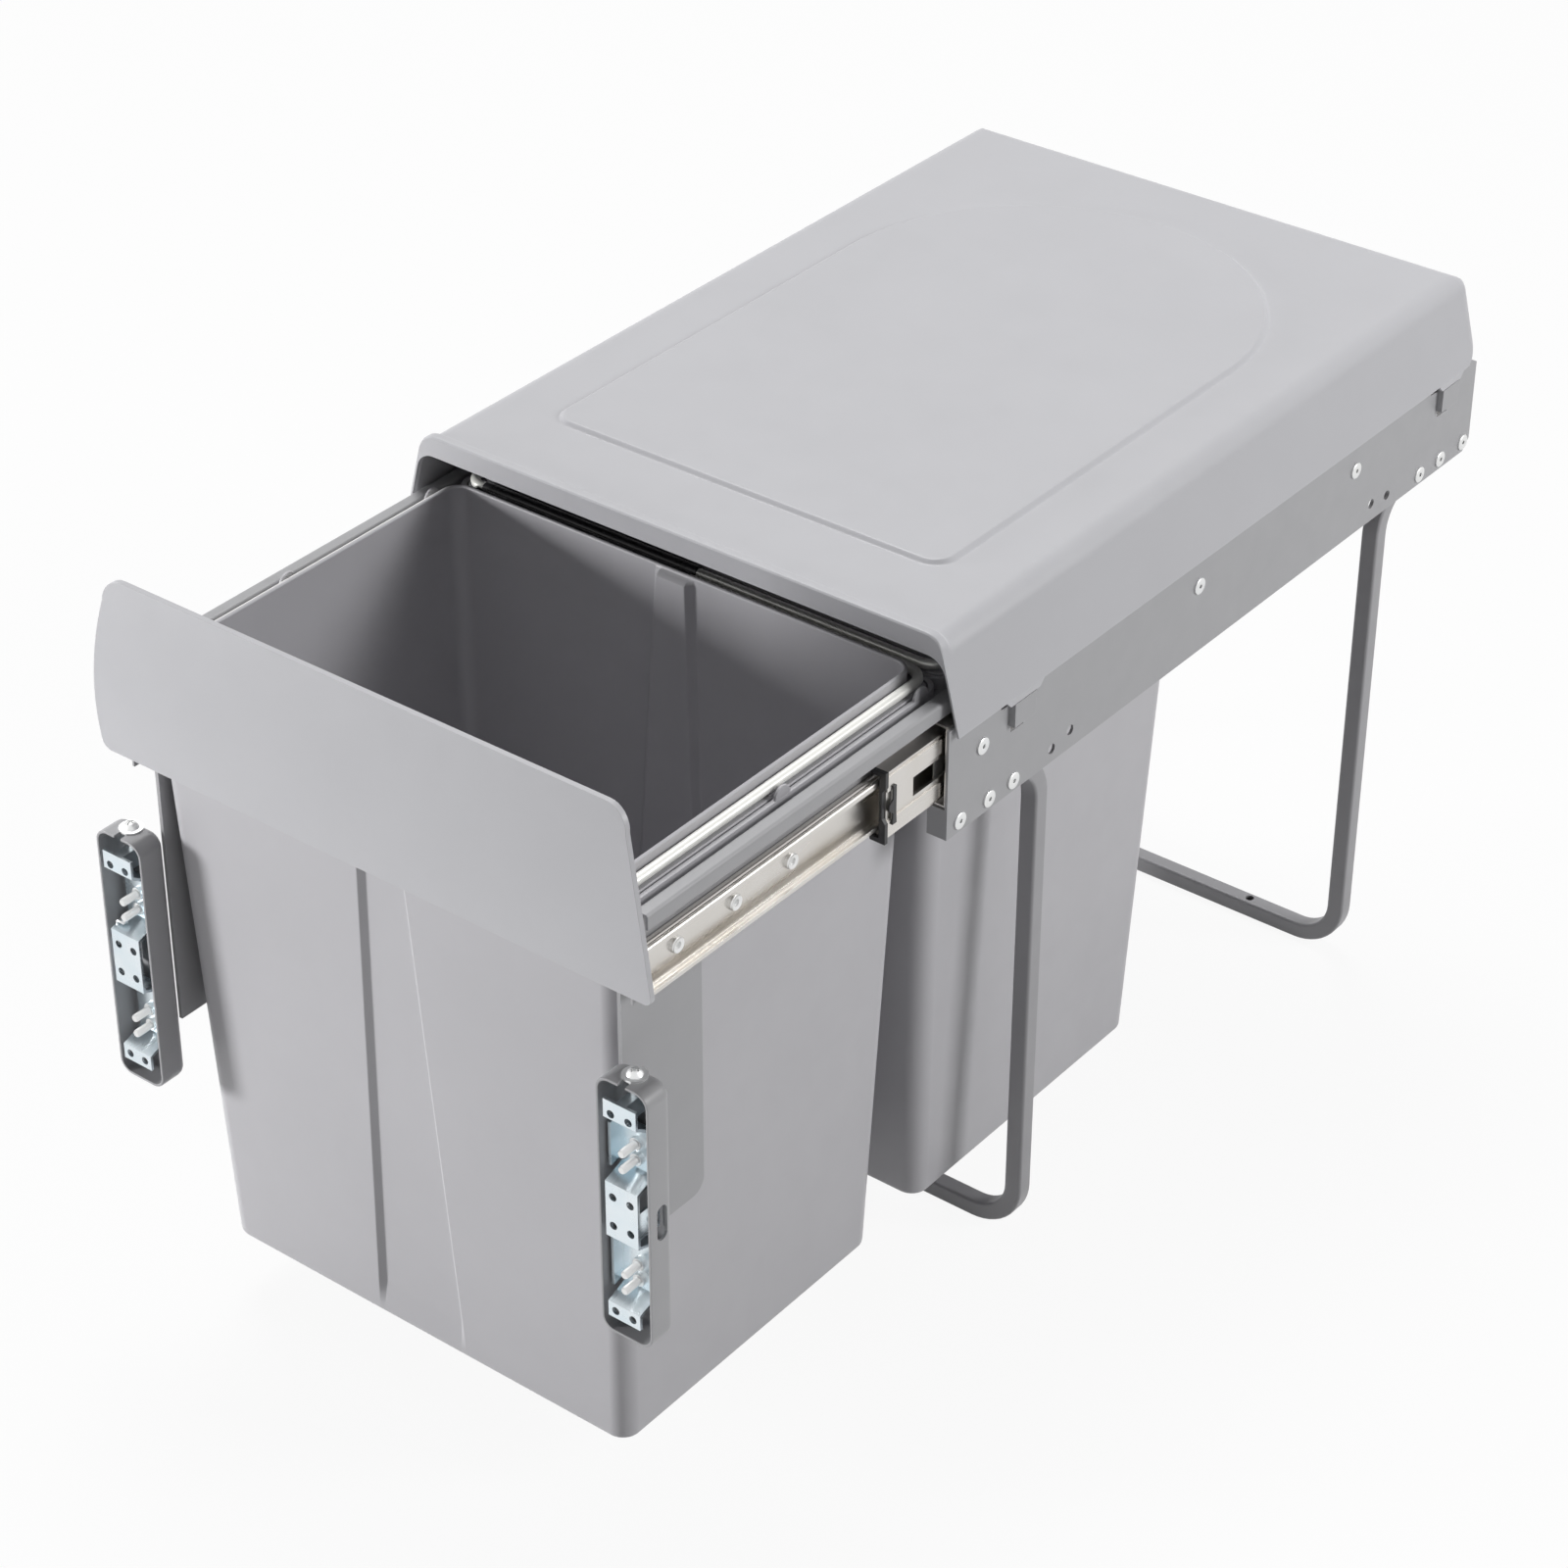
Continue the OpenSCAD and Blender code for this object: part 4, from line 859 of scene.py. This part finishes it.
def tray_piece(name, side):
    """Pressed tray with a slot for the adjusting screw and one for the locking screw."""
    low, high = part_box("tray_right")
    screw_low, screw_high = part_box("adjust_screw_right")
    lock_low, lock_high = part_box("lock_screw_right")
    corner, least_corner, bend, rim = 7.5 * MM, 1 * MM, 4.5 * MM, 0.5 * MM
    inner_bend = bend - SHEET
    middle, half = (low + high) / 2, (high - low) / 2

    def ring(inset, y):
        """Outline of the tray, moved in by inset, at y."""
        outline = rounded_rect(half.x - inset, half.z - inset, max(corner - inset, least_corner))
        return [(middle.x + u, y, middle.z + v) for u, v in outline]

    rows = [(inset, high.y - drop) for inset, drop in rolled_edge(bend)]
    rows += [(inset, low.y + drop) for inset, drop in reversed(rolled_edge(rim, 2))]
    rows += [(SHEET - inset, low.y + drop) for inset, drop in rolled_edge(rim, 2)]
    rows += [(SHEET + inset, high.y - SHEET - drop) for inset, drop in reversed(rolled_edge(inner_bend))]
    shell = Shell()
    shell.loft([ring(inset, y) for inset, y in rows])
    node = "tray_" + name
    piece = build(node + "_pressing", shell, side)

    screw_x, screw_y = (screw_low.x + screw_high.x) / 2, (screw_low.y + screw_high.y) / 2
    reach, room = 4 * MM, 2.3 * MM
    mouth = [(-room, low.y - reach), (room, low.y - reach)] + arc((0, screw_y), room, 0, 180, 8)
    notch = Shell()
    notch.loft([[(screw_x + u, y, z) for u, y in mouth] for z in (high.z - reach, high.z + reach)])
    cut(piece, notch, side)
    lock_y, lock_z = (lock_low.y + lock_high.y) / 2, (lock_low.z + lock_high.z) / 2
    slot_half_y, slot_half_z, slot_round = 3.5 * MM, 9.75 * MM, 3.4 * MM
    slot = Shell()
    outline = rounded_rect(slot_half_y, slot_half_z, slot_round)
    slot.along_x([(lock_y + u, lock_z + v) for u, v in outline], high.x - reach, high.x + reach)
    cut(piece, slot, side)
    dress(piece, node)


def stud_pieces(name, side):
    """Threaded studs with a plain seat, standing in the recesses of a door plate."""
    low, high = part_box("door_studs_right")
    seat_r, seat_t, seat_round = 3.3 * MM, 2 * MM, 0.5 * MM
    stud_r, pitch, thread_d = 2.1 * MM, 0.8 * MM, 0.35 * MM
    upper_gap, lower_gap = 9 * MM, 9.3 * MM
    x = (low.x + high.x) / 2
    length = high.y - low.y
    upper, lower = high.z - seat_r, low.z + seat_r
    rounding = [(seat_t - drop, seat_r - inset) for inset, drop in reversed(rolled_edge(seat_round, 2))]
    shell = Shell()
    for z in (upper, upper - upper_gap, lower + lower_gap, lower):
        place = facing_front((x, high.y, z))
        shell.lathe([(0, seat_r)] + rounding, place)
        shell.thread(place, length, stud_r, pitch, thread_d)
    node = "door_studs_" + name
    dress(build(node + "_thread", shell, side), node)


def hook_clip():
    """Small bent clip at the edge of the left door plate."""
    low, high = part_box("door_plate_left")
    x, y = low.x + 1.5 * MM, low.y + 4 * MM
    arm, hook, bend = 5 * MM, 2 * MM, 1.4 * MM
    half_w, half_t, edge = 1.6 * MM, 0.7 * MM, 0.4 * MM
    top, bottom, tip = (low.z + share * (high.z - low.z) for share in (0.66, 0.46, 0.45))
    corners = [(x + arm, y, top), (x, y, top), (x, y, bottom), (x + hook, y, tip)]
    strip = rounded_rect(half_w, half_t, edge, 3)
    shell = Shell()
    shell.loft(swept(rounded_path(corners, bend, 6), Vector((0, 1, 0)), strip))
    piece = build("hook_clip", shell)
    piece.data.materials.append(FINISH["white_zinc"])
    piece.data.shade_smooth()
    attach(piece, BODY_OF["door_plate_left"])


# All pieces

cover_piece()
panel_piece()
leg_piece("front_leg", True)
leg_piece("rear_leg", False)
for end in ("front", "rear"):
    bin_piece(end + "_bin")
    grip_piece(end + "_grip")
    keep(end + "_handle")
for name, side in SIDES.items():
    rail_piece(name, side)
    slide_inner_piece(name, side)
    slide_cap_piece(name, side)
    tray_piece(name, side)
    stud_pieces(name, side)
    for kind in ("slide_rivets", "leg_rivets"):
        headed_pieces(kind, name, side, head=1.6 * MM, shank=2.4 * MM, hole=1.1 * MM, depth=2.5 * MM)
    headed_pieces("rail_screws", name, side, head=2.2 * MM, shank=2 * MM, hole=1.8 * MM, depth=1.5 * MM)
    for part in ("outer_cage_", "outer_balls_", "inner_cage_", "inner_balls_"):
        keep(part + name)
    for part in ("lock_screw_", "adjust_screw_"):
        keep(part + name)
    for part in ("slide_outer_", "slide_middle_", "adjust_washer_"):
        keep(part + name, FINE_EDGE)
    for part in ("side_plate_", "arm_", "panel_clip_", "door_plate_"):
        keep(part + name, SHEET_EDGE)
keep("rear_tie", SHEET_EDGE)
keep("panel_screws")
hook_clip()


# Studio


def direct_view(tree):
    """1 for rays from the camera and rays of reflections, else 0."""
    ray = tree.nodes.new("ShaderNodeLightPath")
    seen = tree.nodes.new("ShaderNodeMath")
    seen.operation = "MAXIMUM"
    tree.links.new(ray.outputs["Is Camera Ray"], seen.inputs[0])
    tree.links.new(ray.outputs["Is Glossy Ray"], seen.inputs[1])
    return seen.outputs["Value"]


def white_ground():
    """Pale floor that carries the shadow and shows white to the camera and in reflections."""
    size, grey, white_share = 30, 0.7, 0.92
    mesh = bpy.data.meshes.new("floor")
    corners = [(-size, -size, 0), (size, -size, 0), (size, size, 0), (-size, size, 0)]
    mesh.from_pydata(corners, [], [(0, 1, 2, 3)])
    floor = bpy.data.objects.new("floor", mesh)
    bpy.context.scene.collection.objects.link(floor)
    material = bpy.data.materials.new("floor")
    material.use_nodes = True
    tree = material.node_tree
    matte = tree.nodes["Principled BSDF"]
    matte.inputs["Base Color"].default_value = (grey, grey, grey, 1)
    matte.inputs["Roughness"].default_value = 0.9
    glow = tree.nodes.new("ShaderNodeEmission")
    share = tree.nodes.new("ShaderNodeMath")
    share.operation = "MULTIPLY"
    share.inputs[1].default_value = white_share
    tree.links.new(direct_view(tree), share.inputs[0])
    mix = tree.nodes.new("ShaderNodeMixShader")
    tree.links.new(share.outputs["Value"], mix.inputs[0])
    tree.links.new(matte.outputs["BSDF"], mix.inputs[1])
    tree.links.new(glow.outputs["Emission"], mix.inputs[2])
    tree.links.new(mix.outputs["Shader"], tree.nodes["Material Output"].inputs["Surface"])
    mesh.materials.append(material)


def soft_light(name, place, size, power):
    """Square lamp aimed at the middle of the object."""
    aim = Vector((0, 0, 0.2))
    lamp = bpy.data.lights.new(name, "AREA")
    lamp.size = size
    lamp.energy = power
    holder = bpy.data.objects.new(name, lamp)
    holder.location = place
    holder.rotation_euler = (aim - holder.location).to_track_quat("-Z", "Y").to_euler()
    bpy.context.scene.collection.objects.link(holder)


def white_surroundings():
    """Faint light from all round that shows white to the camera and in reflections."""
    faint = 0.10
    world = bpy.data.worlds.new("studio")
    bpy.context.scene.world = world
    world.use_nodes = True
    tree = world.node_tree
    background = tree.nodes["Background"]
    background.inputs["Color"].default_value = (1, 1, 1, 1)
    strength = tree.nodes.new("ShaderNodeMapRange")
    strength.inputs["To Min"].default_value = faint
    tree.links.new(direct_view(tree), strength.inputs["Value"])
    tree.links.new(strength.outputs["Result"], background.inputs["Strength"])


def studio():
    """White room with three lamps."""
    white_ground()
    white_surroundings()
    soft_light("key", place=(-1.7, -1.65, 0.5), size=0.4, power=43)
    soft_light("right", place=(2.2, 0.9, 1.4), size=0.8, power=35)
    soft_light("overhead", place=(-1.7, 1.4, 4.6), size=2.2, power=178)
    bpy.context.scene.view_settings.view_transform = "Standard"


def photo_camera():
    """Camera where the photograph was taken from."""
    place = (1.06197, -1.40655, 1.35508)
    azimuth, elevation, roll = radians(38.495), radians(33.25), radians(-0.2655)
    # Width, focal length and centre of the photograph in its pixels
    image, focal, centre_x, centre_y = 1600, 4118.7, 757.95, 780.31
    lens = bpy.data.cameras.new("photo")
    lens.sensor_width = 36
    lens.lens = lens.sensor_width * focal / image
    lens.shift_x = 0.5 - centre_x / image
    lens.shift_y = centre_y / image - 0.5
    lens.clip_end = 100
    back = Vector((sin(azimuth) * cos(elevation), -cos(azimuth) * cos(elevation), sin(elevation)))
    level = Vector((cos(azimuth), sin(azimuth), 0))
    across = level * cos(roll) + back.cross(level) * sin(roll)
    turn = Matrix((across, back.cross(across), back)).transposed()
    camera = bpy.data.objects.new("photo", lens)
    camera.matrix_world = Matrix.Translation(place) @ turn.to_4x4()
    bpy.context.scene.collection.objects.link(camera)
    bpy.context.scene.camera = camera


studio()
photo_camera()
